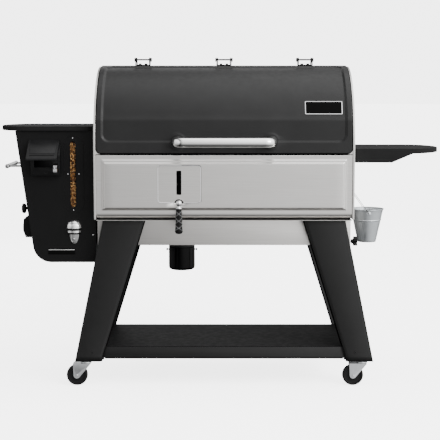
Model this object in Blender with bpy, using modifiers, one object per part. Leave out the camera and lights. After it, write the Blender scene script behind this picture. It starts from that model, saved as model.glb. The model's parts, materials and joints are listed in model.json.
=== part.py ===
"""Pellet smoker grill: a barrel cook chamber on a four-legged cart, with a pellet hopper on its left.

Metres, +Z up, +X towards the side shelf, -Y towards the user. The origin is on the floor
under the middle of the grill's bounding box. Widths called "half" are measured from the
chamber's middle plane at BODY_X, and depths from the front panel's face at FRONT_Y.
"""
import math

import bmesh
import bpy
from mathutils import Matrix, Vector

# Driving dimensions
BODY_X = 0.0147
FRONT_Y = -0.264
SPAN_HALF = 0.798
BODY_HALF = 0.460
LID_HALF = 0.4528
SHELL_HALF = 0.4530
END_INNER = 0.4533
BARREL_R = 0.285
BARREL_Z = 0.864
SHEET = 0.003
THIN = 0.0025
GAP = 0.0003

SHELL_FRONT_ANGLE = 89.4
SHELL_ROLL_Z = 0.6217
SHELL_LOW_Z = 0.6045
LID_REAR_ANGLE = 90.6
LID_CREASE_ANGLE = 161.2
LID_BOTTOM_Z = 0.837
LID_BOTTOM_DEPTH = 0.006
LID_LIP = 0.015
HINGE_Z = 1.1704
HINGE_SPACING = 0.300

PANEL_TOP_Z = 0.832
PANEL_BOTTOM_Z = 0.607
BELLY_TOP_Z = 0.602
BELLY_EDGE_Z = 0.507
BELLY_FLOOR_Z = 0.5015
BELLY_FRONT = 0.055
BELLY_REAR = 0.435
FIRE_DEPTH = 0.245
FIRE_X = -0.1429

LEG_TOP_Z = 0.6005
LEG_FOOT_Z = 0.095
LEG_DEPTH = 0.036
FRONT_LEG = 0.018
REAR_LEG = 0.438

WHEEL_R = 0.038
WHEEL_HALF_WIDTH = 0.012
CASTER_TRAIL = 0.033
SWIVEL_HALF = 0.4975

HOPPER_FRONT = 0.080
HOPPER_REAR = 0.355
HOPPER_TOP_Z = 0.9145
HOPPER_FLOOR_Z = 0.441
HOPPER_RIGHT_X = -0.447
HOPPER_TOP_LEFT_X = -0.7316
HOPPER_WALL_SLOPE = 0.1377
HOPPER_LID_TOP_Z = 0.9313
WINDOW_X = -0.5266
AUGER_Z = 0.560
AUGER_TUBE_R = 0.024

SHELF_TOP_Z = 0.852
SHELF_APRON_Z = 0.802
SHELF_INNER_X = 0.4834
OVERHANG_FRONT = 0.070
OVERHANG_REAR = 0.370

BUCKET_X = 0.563
BUCKET_DEPTH = 0.360
LEVER_X = -0.1447

# Finishes: base colour, roughness, metallic
GRAPHITE = ((0.055, 0.056, 0.058), 0.45, 0.30)
BLACK_COAT = ((0.022, 0.022, 0.023), 0.50, 0.10)
STAINLESS = ((0.62, 0.61, 0.60), 0.32, 1.0)
POLISHED = ((0.75, 0.75, 0.76), 0.15, 1.0)
GALVANISED = ((0.48, 0.50, 0.52), 0.42, 1.0)
BLACK_PLASTIC = ((0.018, 0.018, 0.019), 0.40, 0.0)
RUBBER = ((0.015, 0.015, 0.015), 0.80, 0.0)
ENAMEL = ((0.030, 0.030, 0.032), 0.25, 0.0)
CLEAR = ((0.80, 0.82, 0.84), 0.05, 0.0)

# Local (u, v, w) axes of a flat outline, for each plane it can lie in
PLANES = {
    "XY": (Vector((1, 0, 0)), Vector((0, 1, 0)), Vector((0, 0, 1))),
    "XZ": (Vector((1, 0, 0)), Vector((0, 0, 1)), Vector((0, -1, 0))),
    "YZ": (Vector((0, 1, 0)), Vector((0, 0, 1)), Vector((1, 0, 0))),
}


def collection(name):
    """A new collection in the scene."""
    made = bpy.data.collections.new(name)
    bpy.context.scene.collection.children.link(made)
    return made


def clear_scene():
    """Removes every object that the file holds."""
    for obj in list(bpy.data.objects):
        bpy.data.objects.remove(obj, do_unlink=True)


def depth(distance):
    """World Y of a distance behind the front panel's face."""
    return FRONT_Y + distance


def side(half):
    """World X of a signed distance from the chamber's middle plane."""
    return BODY_X + half


def material(name, finish):
    """A Principled material from a (colour, roughness, metallic) finish."""
    made = bpy.data.materials.new(name)
    made.use_nodes = True
    shader = made.node_tree.nodes["Principled BSDF"]
    shader.inputs["Base Color"].default_value = (*finish[0], 1.0)
    shader.inputs["Roughness"].default_value = finish[1]
    shader.inputs["Metallic"].default_value = finish[2]
    return made


def keep(obj, name, finish):
    """Names an object and files it as a part, or as a guide if it has no finish."""
    for owner in list(obj.users_collection):
        owner.objects.unlink(obj)
    obj.name = name
    obj.data.name = name
    if finish is None:
        GUIDES.objects.link(obj)
        obj.hide_render = True
        obj.display_type = "WIRE"
    else:
        PARTS.objects.link(obj)
        obj.data.materials.clear()
        obj.data.materials.append(material(name + "_finish", finish))
    return obj


def solid_mesh(obj):
    """Replaces a curve object by its evaluated mesh, with the loose caps welded on."""
    bpy.context.scene.collection.objects.link(obj)
    bpy.context.view_layer.update()
    evaluated = obj.evaluated_get(bpy.context.evaluated_depsgraph_get())
    mesh = bpy.data.meshes.new_from_object(evaluated)
    shape = bmesh.new()
    shape.from_mesh(mesh)
    bmesh.ops.remove_doubles(shape, verts=shape.verts, dist=1e-6)
    bmesh.ops.recalc_face_normals(shape, faces=shape.faces)
    shape.to_mesh(mesh)
    shape.free()
    made = bpy.data.objects.new(obj.name, mesh)
    made.matrix_world = obj.matrix_world
    bpy.data.objects.remove(obj, do_unlink=True)
    return made


def smooth(obj, angle=35):
    """Shades a mesh smooth, with its edges past the angle left sharp."""
    obj.data.shade_smooth()
    obj.data.set_sharp_from_angle(angle=math.radians(angle))
    return obj


def box(name, low, high, finish=None):
    """A block between two opposite corners."""
    low, high = Vector(low), Vector(high)
    bpy.ops.mesh.primitive_cube_add(size=1, location=(low + high) / 2)
    obj = bpy.context.object
    obj.data.transform(Matrix.Diagonal((*(high - low), 1)))
    return keep(obj, name, finish)


def plate(name, outline, plane, start, end, finish=None, holes=()):
    """A flat outline with holes in a plane, thick from start to end along the plane's world normal."""
    curve = bpy.data.curves.new(name, "CURVE")
    curve.dimensions = "2D"
    curve.fill_mode = "BOTH"
    curve.extrude = abs(end - start) / 2
    for loop in (outline, *holes):
        spline = curve.splines.new("POLY")
        spline.points.add(len(loop) - 1)
        for point, (u, v) in zip(spline.points, loop):
            point.co = (u, v, 0, 1)
        spline.use_cyclic_u = True
    obj = bpy.data.objects.new(name, curve)
    u_axis, v_axis, w_axis = PLANES[plane]
    obj.matrix_world = Matrix((u_axis, v_axis, w_axis)).transposed().to_4x4()
    normal = Vector([abs(value) for value in w_axis])
    obj.location = normal * (start + end) / 2
    return keep(smooth(solid_mesh(obj)), name, finish)


def turned(name, profile, centre, axis, finish=None, steps=24, closed=False):
    """A profile of (radius, height) points, given down its outer side, turned about an axis."""
    mesh = bpy.data.meshes.new(name)
    points = [(radius, 0, height) for radius, height in profile]
    edges = [(i, i + 1) for i in range(len(points) - 1)]
    if closed:
        edges.append((len(points) - 1, 0))
    mesh.from_pydata(points, edges, [])
    obj = bpy.data.objects.new(name, mesh)
    if axis == "X":
        obj.rotation_euler = (0, math.pi / 2, 0)
    if axis == "Y":
        obj.rotation_euler = (-math.pi / 2, 0, 0)
    obj.location = centre
    screw = obj.modifiers.new("turn", "SCREW")
    screw.axis = "Z"
    screw.steps = steps
    screw.render_steps = steps
    screw.use_merge_vertices = True
    screw.merge_threshold = 0.0001
    return keep(obj, name, finish)


def cylinder(name, radius, start, end, finish=None, steps=16):
    """A round bar between two points."""
    start, end = Vector(start), Vector(end)
    bpy.ops.mesh.primitive_cylinder_add(vertices=steps, radius=radius, depth=(end - start).length)
    obj = bpy.context.object
    obj.rotation_mode = "QUATERNION"
    obj.rotation_quaternion = Vector((0, 0, 1)).rotation_difference(end - start)
    obj.location = (start + end) / 2
    return keep(smooth(obj), name, finish)


def ball(name, centre, radius, finish=None, segments=10, rings=6):
    """A round ball."""
    bpy.ops.mesh.primitive_uv_sphere_add(segments=segments, ring_count=rings, radius=radius, location=centre)
    return keep(smooth(bpy.context.object), name, finish)


def tube(name, points, radius, finish=None, resolution=3):
    """A round rod along a list of points."""
    curve = bpy.data.curves.new(name, "CURVE")
    curve.dimensions = "3D"
    curve.bevel_depth = radius
    curve.bevel_resolution = resolution
    curve.use_fill_caps = True
    spline = curve.splines.new("POLY")
    spline.points.add(len(points) - 1)
    for point, place in zip(spline.points, points):
        point.co = (*place, 1)
    obj = bpy.data.objects.new(name, curve)
    return keep(smooth(solid_mesh(obj), 50), name, finish)


def boolean(obj, operation, tools):
    """Adds a Boolean modifier for each tool."""
    for tool in tools:
        step = obj.modifiers.new(tool.name, "BOOLEAN")
        step.operation = operation
        step.solver = "EXACT"
        step.object = tool
    return obj


def cut(obj, *tools):
    """Takes the tools' shapes away from an object."""
    return boolean(obj, "DIFFERENCE", tools)


def join(obj, *tools):
    """Welds the tools' shapes onto an object."""
    return boolean(obj, "UNION", tools)


def bevel(obj, width, segments=2, angle=40):
    """Rounds the edges sharper than an angle."""
    step = obj.modifiers.new("bevel", "BEVEL")
    step.width = width
    step.segments = segments
    step.limit_method = "ANGLE"
    step.angle_limit = math.radians(angle)
    return obj


def pivot(name, place, *pieces):
    """An empty on a joint's axis that carries the pieces which move on it."""
    empty = bpy.data.objects.new(name, None)
    empty.location = place
    empty.empty_display_size = 0.03
    PARTS.objects.link(empty)
    for piece in pieces:
        piece.parent = empty
        piece.matrix_parent_inverse = Matrix.Translation(place).inverted()
    return empty


def arc(u, v, radius, start, end, steps):
    """Points on a circle from one angle to another, in degrees."""
    angles = [math.radians(start + (end - start) * i / steps) for i in range(steps + 1)]
    return [(u + radius * math.cos(a), v + radius * math.sin(a)) for a in angles]


def rectangle(u0, v0, u1, v1):
    """A closed rectangle."""
    return [(u0, v0), (u1, v0), (u1, v1), (u0, v1)]


def slot(u, v0, v1, width, steps=6):
    """A closed upright slot with round ends between two heights."""
    radius = width / 2
    return arc(u, v1 - radius, radius, 0, 180, steps) + arc(u, v0 + radius, radius, 180, 360, steps)


def rounded_rectangle(u0, v0, u1, v1, radius, steps=4):
    """A closed rectangle with round corners."""
    corners = ((u1, v1, 0), (u0, v1, 90), (u0, v0, 180), (u1, v0, 270))
    points = []
    for u, v, start in corners:
        centre_u = u - radius if u == u1 else u + radius
        centre_v = v - radius if v == v1 else v + radius
        points += arc(centre_u, centre_v, radius, start, start + 90, steps)
    return points


def rounded(points, radius, steps=6):
    """A 3-D path whose inner corners are replaced by arcs."""
    path = [Vector(points[0])]
    for before, corner, after in zip(points, points[1:], points[2:]):
        corner = Vector(corner)
        back = (Vector(before) - corner).normalized()
        ahead = (Vector(after) - corner).normalized()
        half = back.angle(ahead) / 2
        reach = radius / math.tan(half)
        centre = corner + (back + ahead).normalized() * (radius / math.sin(half))
        first = (corner + back * reach - centre).normalized()
        last = (corner + ahead * reach - centre).normalized()
        path += [centre + first.slerp(last, i / steps) * radius for i in range(steps + 1)]
    path.append(Vector(points[-1]))
    return path


def inset(outline, distance):
    """A convex outline moved inwards by a distance."""
    points = [Vector(point) for point in outline]
    middle = sum(points, Vector((0, 0))) / len(points)
    lines = []
    for start, end in zip(points, points[1:] + points[:1]):
        along = (end - start).normalized()
        inward = Vector((-along.y, along.x))
        if inward.dot(middle - start) < 0:
            inward = -inward
        lines.append((start + inward * distance, along))
    moved = []
    for (start, along), (other, across) in zip(lines[-1:] + lines[:-1], lines):
        turn = along.x * across.y - along.y * across.x
        reach = ((other.x - start.x) * across.y - (other.y - start.y) * across.x) / turn
        moved.append(tuple(start + along * reach))
    return moved


def mirrored(outline):
    """An outline flipped across u = 0."""
    return [(-u, v) for u, v in outline]


def shifted(outline, u=0.0, v=0.0):
    """An outline moved by an offset."""
    return [(a + u, b + v) for a, b in outline]


# Cart

def leg(name, mirror, near, plate_side):
    """One folded-sheet leg: a tapered channel whose face is towards the front or the rear."""
    outline = [(0.4307, LEG_TOP_Z), (0.2841, LEG_TOP_Z), (0.4373, 0.1089), (0.4444, LEG_FOOT_Z),
               (0.5295, LEG_FOOT_Z)]
    hollow = inset(outline, THIN)
    if mirror:
        outline, hollow = mirrored(outline), mirrored(hollow)
    outline, hollow = shifted(outline, BODY_X), shifted(hollow, BODY_X)
    far = near + LEG_DEPTH
    body = plate(name, outline, "XZ", depth(near), depth(far), BLACK_COAT)
    if plate_side == "front":
        start, end = near + THIN, far + THIN
    else:
        start, end = near - THIN, far - THIN
    cut(body, plate(name + "_hollow", hollow, "XZ", depth(start), depth(end)))


def legs():
    """Four legs, the rear pair facing backwards."""
    leg("leg_front_left", True, FRONT_LEG, "front")
    leg("leg_front_right", False, FRONT_LEG, "front")
    leg("leg_rear_left", True, REAR_LEG, "rear")
    leg("leg_rear_right", False, REAR_LEG, "rear")


def bottom_shelf():
    """The lower shelf: a tray turned over, whose end flanges run on to the rear legs."""
    top, bottom = 0.1425, 0.1054
    top_half, bottom_half = 0.4258, 0.4372
    front, rear = 0.030, 0.430
    outline = [(-top_half, top), (-bottom_half, bottom), (bottom_half, bottom), (top_half, top)]
    inner = [(-top_half + THIN, top - THIN), (-bottom_half + THIN, bottom - THIN),
             (bottom_half - THIN, bottom - THIN), (top_half - THIN, top - THIN)]
    shelf = plate("bottom_shelf", shifted(outline, BODY_X), "XZ", depth(front), depth(rear), BLACK_COAT)
    cut(shelf, plate("shelf_hollow", shifted(inner, BODY_X), "XZ", depth(front + THIN), depth(rear - THIN)))
    for sign, label in ((-1, "left"), (1, "right")):
        flange = [(sign * top_half, top), (sign * bottom_half, bottom),
                  (sign * (bottom_half - THIN), bottom), (sign * (top_half - THIN), top)]
        join(shelf, plate("shelf_flange_" + label, shifted(flange, BODY_X), "XZ", depth(0.022), depth(0.470)))


def caster(name, x, y):
    """A swivel caster: fork with its raceway and axle, and a wheel that trails to the left."""
    wheel_x = x - CASTER_TRAIL
    crown_low, crown_high = 0.0790, 0.0815
    inner, outer = 0.0145, 0.0170
    fork = box(name + "_fork", (wheel_x - 0.0137, y - outer, crown_low),
               (wheel_x + 0.049, y + outer, crown_high), GALVANISED)
    lobe = arc(wheel_x, WHEEL_R, 0.0115, 180, 330, 5)
    cheek = [(wheel_x - 0.0137, crown_low + 0.001)] + lobe + [(wheel_x + 0.049, crown_low + 0.001)]
    join(fork,
         plate(name + "_cheek_front", cheek, "XZ", y - outer, y - inner),
         plate(name + "_cheek_rear", cheek, "XZ", y + inner, y + outer),
         cylinder(name + "_raceway", 0.0165, (x, y, 0.0805), (x, y, LEG_FOOT_Z - GAP), steps=14),
         cylinder(name + "_axle", 0.0040, (wheel_x, y - 0.020, WHEEL_R), (wheel_x, y + 0.020, WHEEL_R),
                  steps=8))
    half = WHEEL_HALF_WIDTH
    profile = [(0.027, half - 0.001), (0.028, half), (0.0345, half), (WHEEL_R, half - 0.0045),
               (WHEEL_R, -half + 0.0045), (0.0345, -half), (0.028, -half), (0.027, -half + 0.001),
               (0.0043, -half + 0.001), (0.0043, half - 0.001)]
    wheel = turned(name + "_wheel", profile, (wheel_x, y, WHEEL_R), "Y", RUBBER, steps=24, closed=True)
    pivot(name + "_swivel_axis", (x, y, LEG_FOOT_Z), fork)
    pivot(name + "_wheel_axis", (wheel_x, y, WHEEL_R), wheel)


def casters():
    """Four casters, one under each foot."""
    for row, near in (("front", FRONT_LEG), ("rear", REAR_LEG)):
        for hand, sign in (("left", -1), ("right", 1)):
            caster(f"caster_{row}_{hand}", side(sign * SWIVEL_HALF), depth(near + LEG_DEPTH / 2))


# Chamber

def belly_tub():
    """The stainless lower body: a shallow tub with a flange around its top."""
    outline = [(BELLY_FRONT, BELLY_TOP_Z), (BELLY_FRONT, BELLY_EDGE_Z), (0.10, BELLY_FLOOR_Z),
               (0.39, BELLY_FLOOR_Z), (BELLY_REAR, BELLY_EDGE_Z), (BELLY_REAR, BELLY_TOP_Z)]
    hollow = inset(outline, THIN)
    hollow[0] = (BELLY_FRONT + THIN, BELLY_TOP_Z + 0.01)
    hollow[-1] = (BELLY_REAR - THIN, BELLY_TOP_Z + 0.01)
    tub = plate("belly_tub", shifted(outline, FRONT_Y), "YZ", side(-SHELL_HALF), side(SHELL_HALF), STAINLESS)
    flange_low = BELLY_TOP_Z - 0.0012
    join(tub, box("belly_flange", (side(-SHELL_HALF), depth(0.006), flange_low),
                  (side(SHELL_HALF), depth(0.452), BELLY_TOP_Z)))
    hollow_half = SHELL_HALF - THIN
    fire_y, air_y = depth(FIRE_DEPTH), depth(0.330)
    cut(tub,
        plate("belly_hollow", shifted(hollow, FRONT_Y), "YZ", side(-hollow_half), side(hollow_half)),
        cylinder("belly_auger_hole", AUGER_TUBE_R + 0.0005, (side(-0.47), fire_y, AUGER_Z),
                 (side(-0.44), fire_y, AUGER_Z), steps=20),
        cylinder("belly_air_hole", 0.026, (side(-0.47), air_y, 0.550), (side(-0.44), air_y, 0.550)),
        cylinder("belly_ash_hole", 0.0395, (FIRE_X, fire_y, 0.49), (FIRE_X, fire_y, 0.51), steps=20))


def front_panel():
    """The stainless front panel with a raised field, and the lever's opening."""
    face, back = depth(0.008), depth(0.012)
    panel = box("front_panel", (side(-SHELL_HALF), face, PANEL_BOTTOM_Z),
                (side(SHELL_HALF), back, PANEL_TOP_Z), STAINLESS)
    shape = bmesh.new()
    shape.from_mesh(panel.data)
    front = min(shape.faces, key=lambda f: f.calc_center_median().y)
    bmesh.ops.inset_region(shape, faces=[front], thickness=0.0205, depth=0)
    bmesh.ops.inset_region(shape, faces=[front], thickness=0.012, depth=0.008)
    shape.to_mesh(panel.data)
    shape.free()
    opening = (LEVER_X - 0.0165, depth(-0.01), 0.659), (LEVER_X + 0.0165, depth(0.02), 0.785)
    cut(panel, box("lever_opening", *opening))


def lever_plate():
    """The thin plate with the upright slot and the arch that the lever works in."""
    outline = rounded_rectangle(-0.2193, 0.6651, -0.0684, 0.7961, 0.010)
    arch = [(LEVER_X - 0.0170, 0.660), (LEVER_X - 0.0170, 0.6680)]
    arch += arc(LEVER_X, 0.6610, 0.0170, 150, 30, 6)
    arch += [(LEVER_X + 0.0170, 0.6680), (LEVER_X + 0.0170, 0.660)]
    hole = slot(LEVER_X, 0.6934, 0.7785, 0.0179)
    body = plate("lever_plate", outline, "XZ", depth(-0.0018), depth(-GAP), STAINLESS, holes=[hole])
    cut(body, plate("lever_arch", arch, "XZ", depth(-0.01), depth(0.01)))


def end_outline():
    """The side of the chamber: upright at the front, round on top and behind."""
    step_in = SHEET + 0.0005
    start = math.degrees(math.asin((SHELL_ROLL_Z - BARREL_Z) / BARREL_R))
    round_part = arc(BARREL_R, BARREL_Z, BARREL_R - step_in, start, 180, 40)
    return shifted([(BELLY_REAR, SHELL_LOW_Z)] + round_part + [(step_in, SHELL_LOW_Z)], FRONT_Y)


def end_panels():
    """The two stainless sides, with the ledges that the tray, grate and rack rest on."""
    for hand, sign, tray_z in (("left", -1, 0.7215), ("right", 1, 0.7095)):
        inner, outer = side(sign * END_INNER), side(sign * BODY_HALF)
        span = sorted((inner, outer))
        panel = plate("end_panel_" + hand, end_outline(), "YZ", *span, STAINLESS)
        ledge_x = sorted((side(sign * 0.441), side(sign * (END_INNER + 0.002))))
        ledges = (("tray", tray_z, 0.095, 0.500), ("grate", 0.7997, 0.035, 0.545),
                  ("rack", 0.9297, 0.250, 0.500))
        for label, top, near, far in ledges:
            join(panel, box(f"{label}_ledge_{hand}", (ledge_x[0], depth(near), top - 0.003),
                            (ledge_x[1], depth(far), top)))


def rear_shell():
    """The fixed rear half of the barrel, rolled on under the chamber to the tub."""
    start = math.degrees(math.asin((SHELL_ROLL_Z - BARREL_Z) / BARREL_R))
    outer = arc(BARREL_R, BARREL_Z, BARREL_R, start, SHELL_FRONT_ANGLE, 32)
    inner = arc(BARREL_R, BARREL_Z, BARREL_R - SHEET, start, SHELL_FRONT_ANGLE, 32)
    outline = [(BELLY_REAR, SHELL_LOW_Z)] + outer + inner[::-1] + [(BELLY_REAR - SHEET, SHELL_LOW_Z)]
    ends = side(-SHELL_HALF), side(SHELL_HALF)
    shell = plate("rear_shell", shifted(outline, FRONT_Y), "YZ", *ends, GRAPHITE)
    for i in range(3):
        low = 0.880 + 0.022 * i
        cut(shell, box(f"exhaust_slot_{i}", (side(-0.12), depth(0.53), low),
                       (side(0.12), depth(0.59), low + 0.010)))


def exhaust_duct():
    """The hood over the exhaust slots on the back, open at its bottom."""
    duct = box("exhaust_duct", (side(-0.160), depth(0.545), 0.845), (side(0.160), depth(0.600), 0.970),
               BLACK_COAT)
    cut(duct,
        box("duct_hollow", (side(-0.1575), depth(0.50), 0.80), (side(0.1575), depth(0.5975), 0.9675)),
        cylinder("duct_seat", BARREL_R + 0.0008, (side(-0.2), depth(BARREL_R), BARREL_Z),
                 (side(0.2), depth(BARREL_R), BARREL_Z), steps=96))


def lid_path(offset, start=LID_REAR_ANGLE, bottom=LID_BOTTOM_Z):
    """The lid's side profile from its rear edge down to its lower edge, moved inwards by an offset."""
    round_part = arc(BARREL_R, BARREL_Z, BARREL_R - offset, start, LID_CREASE_ANGLE, 20)
    return round_part + [(LID_BOTTOM_DEPTH + offset, bottom)]


def lid():
    """The front half of the barrel: a curved sheet with a flat lower band and turned-in edges."""
    outline = lid_path(0) + lid_path(LID_LIP)[::-1]
    hollow = lid_path(SHEET, LID_REAR_ANGLE + 0.7, LID_BOTTOM_Z + SHEET)
    hollow += lid_path(LID_LIP + 0.01, LID_REAR_ANGLE + 0.7, LID_BOTTOM_Z + SHEET)[::-1]
    body = plate("lid", shifted(outline, FRONT_Y), "YZ", side(-LID_HALF), side(LID_HALF), GRAPHITE)
    inner_half = LID_HALF - SHEET
    cut(body, plate("lid_hollow", shifted(hollow, FRONT_Y), "YZ", side(-inner_half), side(inner_half)))
    return body


def lid_handle():
    """The thick tube across the lid, bent back to it at both ends."""
    z, radius, post = 0.8796, 0.017, 0.158
    lid_face = LID_BOTTOM_DEPTH + 0.0018 - GAP
    ends = [(side(-post), depth(lid_face), z), (side(-post), depth(-0.055), z),
            (side(post), depth(-0.055), z), (side(post), depth(lid_face), z)]
    return tube("lid_handle", rounded(ends, 0.030, 7), radius, POLISHED, resolution=4)


def hinge(label, x):
    """A hinge on top: a bracket with its pin on the rear shell, and a strap on the lid."""
    y = depth(BARREL_R)
    base_z = BARREL_Z + BARREL_R + GAP
    top_z = base_z + THIN
    bracket = box(f"hinge_{label}_bracket", (x - 0.0245, y + 0.004, base_z), (x + 0.0245, y + 0.032, top_z),
                  BLACK_COAT)
    strap = box(f"hinge_{label}_strap", (x - 0.0280, y - 0.032, base_z), (x + 0.0280, y - 0.004, top_z),
                BLACK_COAT)
    ear = arc(y, HINGE_Z, 0.0078, 180, 0, 5)
    rear_ear = ear + [(y + 0.026, base_z + 0.001), (y + 0.0045, base_z + 0.001)]
    front_ear = ear + [(y - 0.0045, base_z + 0.001), (y - 0.026, base_z + 0.001)]
    for sign in (-1, 1):
        inner = sorted((x + sign * 0.0215, x + sign * 0.0245))
        outer = sorted((x + sign * 0.0249, x + sign * 0.0280))
        join(bracket, plate(f"hinge_{label}_rear_ear_{sign}", rear_ear, "YZ", *inner))
        join(strap, plate(f"hinge_{label}_front_ear_{sign}", front_ear, "YZ", *outer))
        head = sorted((x + sign * 0.0284, x + sign * 0.0315))
        join(bracket, cylinder(f"hinge_{label}_head_{sign}", 0.0055, (head[0], y, HINGE_Z),
                               (head[1], y, HINGE_Z), steps=6))
    join(bracket, cylinder(f"hinge_{label}_pin", 0.0030, (x - 0.0310, y, HINGE_Z), (x + 0.0310, y, HINGE_Z),
                           steps=8))
    cut(strap, cylinder(f"hinge_{label}_eye", 0.0034, (x - 0.04, y, HINGE_Z), (x + 0.04, y, HINGE_Z),
                        steps=10))
    return strap


def lid_assembly():
    """The lid with its handle and hinge straps, on the hinge line."""
    moving = [lid(), lid_handle()]
    for label, step in (("left", -1), ("middle", 0), ("right", 1)):
        moving.append(hinge(label, side(step * HINGE_SPACING)))
    pivot("lid_axis", (side(0), depth(BARREL_R), HINGE_Z), *moving)


def drip_tray():
    """The sloping tray under the grate, open above the fire pot, with rails for the damper."""
    near, far, half = 0.085, 0.510, 0.4495
    outline = [(-half, 0.722), (half, 0.710), (half, 0.724), (-half, 0.736)]
    hollow = [(-half + THIN, 0.724), (half - THIN, 0.712), (half - THIN, 0.74), (-half + THIN, 0.75)]
    tray = plate("drip_tray", shifted(outline, BODY_X), "XZ", depth(near), depth(far), ENAMEL)
    cut(tray, plate("tray_hollow", shifted(hollow, BODY_X), "XZ", depth(near + THIN), depth(far - THIN)))
    for sign in (-1, 1):
        x = FIRE_X + sign * 0.0630
        join(tray, box(f"damper_rail_{sign}", (x - 0.001, depth(0.17), 0.7070),
                       (x + 0.001, depth(0.37), 0.7205)))
    for i in range(4):
        x = FIRE_X - 0.036 + 0.024 * i
        cut(tray, box(f"flame_slot_{i}", (x - 0.005, depth(0.205), 0.69), (x + 0.005, depth(0.285), 0.76)))


def grate(name, near, far, low, bars):
    """A cooking grate: a flat frame with bars from front to back and one cross rail."""
    half, rim, bar = 0.4520, 0.008, 0.005
    middle = (near + far) / 2
    pitch = (2 * half - 2 * rim + bar) / bars
    holes = []
    for i in range(bars):
        start = side(-half + rim + pitch * i)
        for v0, v1 in ((near + rim, middle - 0.004), (middle + 0.004, far - rim)):
            holes.append(rectangle(start, depth(v0), start + pitch - bar, depth(v1)))
    outline = rectangle(side(-half), depth(near), side(half), depth(far))
    plate(name, outline, "XY", low, low + 0.005, ENAMEL, holes=holes)


def fire_box():
    """The fire pot, the heat deflector over it and the damper that the lever slides."""
    fire_y = depth(FIRE_DEPTH)
    pot = turned("fire_pot", [(0.045, 0.600), (0.045, 0.5045), (0.042, 0.5045), (0.042, 0.600)],
                 (FIRE_X, fire_y, 0), "Z", BLACK_COAT, steps=22, closed=True)
    cut(pot, cylinder("pot_inlet", 0.020, (FIRE_X - 0.06, fire_y, AUGER_Z), (FIRE_X - 0.02, fire_y, AUGER_Z)))
    roof = [(-0.097, 0.5045), (-0.097, 0.625), (0, 0.665), (0.097, 0.625), (0.097, 0.5045)]
    under = [(0.0945, 0.5045), (0.0945, 0.6235), (0, 0.6622), (-0.0945, 0.6235), (-0.0945, 0.5045)]
    deflector = plate("heat_deflector", shifted(roof + under, FIRE_X), "XZ", depth(0.165), depth(0.325),
                      BLACK_COAT)
    cut(deflector, cylinder("deflector_inlet", AUGER_TUBE_R + 0.001, (FIRE_X - 0.12, fire_y, AUGER_Z),
                            (FIRE_X - 0.06, fire_y, AUGER_Z), steps=20))
    holes = [rectangle(FIRE_X - 0.029 + 0.024 * i, depth(0.205), FIRE_X - 0.019 + 0.024 * i, depth(0.285))
             for i in range(3)]
    outline = rectangle(FIRE_X - 0.0615, depth(0.175), FIRE_X + 0.0615, depth(0.315))
    damper = plate("flame_damper", outline, "XY", 0.7100, 0.7130, BLACK_COAT, holes=holes)
    join(damper, cylinder("damper_link", 0.0025, (LEVER_X + 0.012, depth(0.034), 0.7115),
                          (LEVER_X + 0.012, depth(0.180), 0.7115), steps=8))
    pivot("damper_axis", (FIRE_X, fire_y, 0.7115), damper)


def lever():
    """The front lever: chrome collar and inner arm, with a rubber grip below."""
    y = depth(-0.018)
    profile = [(0, 0.6755), (0.0055, 0.6738), (0.0090, 0.6700), (0.0103, 0.6650), (0.0090, 0.6600),
               (0.0062, 0.6560), (0.0062, 0.6510), (0.0103, 0.6470), (0.0103, 0.6460), (0, 0.6460)]
    collar = turned("lever", profile, (LEVER_X, y, 0), "Z", POLISHED, steps=20)
    join(collar,
         box("lever_arm", (LEVER_X - 0.0045, y, 0.6640), (LEVER_X + 0.0045, depth(0.022), 0.6710)),
         box("lever_pointer", (LEVER_X - 0.0040, depth(0.016), 0.6645),
             (LEVER_X + 0.0040, depth(0.0215), 0.7750)))
    grip_profile = [(0, 0.6457), (0.0085, 0.6457), (0.0094, 0.6440), (0.0105, 0.6150), (0.0120, 0.5850),
                    (0.0133, 0.5700), (0.0128, 0.5630), (0.0095, 0.5585), (0.0045, 0.5571), (0, 0.5570)]
    grip = turned("lever_grip", grip_profile, (LEVER_X, y, 0), "Z", RUBBER, steps=20)
    pivot("lever_axis", (LEVER_X, depth(0.006), 0.6675), collar, grip)


# Ash clean-out under the fire pot

def ash_gate():
    """The sliding gate under the fire pot, with its rod and star knob on the right."""
    y, z = depth(FIRE_DEPTH), 0.4955
    gate = box("ash_gate", (FIRE_X - 0.0450, y - 0.0405, z - 0.0012),
               (FIRE_X + 0.0450, y + 0.0405, z + 0.0012), GALVANISED)
    join(gate, cylinder("gate_rod", 0.0030, (FIRE_X + 0.040, y, z), (0.4903, y, z), steps=8))
    lobes = []
    for i in range(30):
        angle = math.radians(12 * i)
        radius = 0.0155 + 0.0033 * math.cos(5 * angle)
        lobes.append((y + radius * math.sin(angle), z + radius * math.cos(angle)))
    knob = plate("ash_knob", lobes, "YZ", 0.4985, 0.5131, BLACK_PLASTIC)
    join(knob, cylinder("knob_hub", 0.0085, (0.4906, y, z), (0.500, y, z)))
    pivot("ash_gate_axis", (0.4903, y, z), gate, knob)


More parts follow.
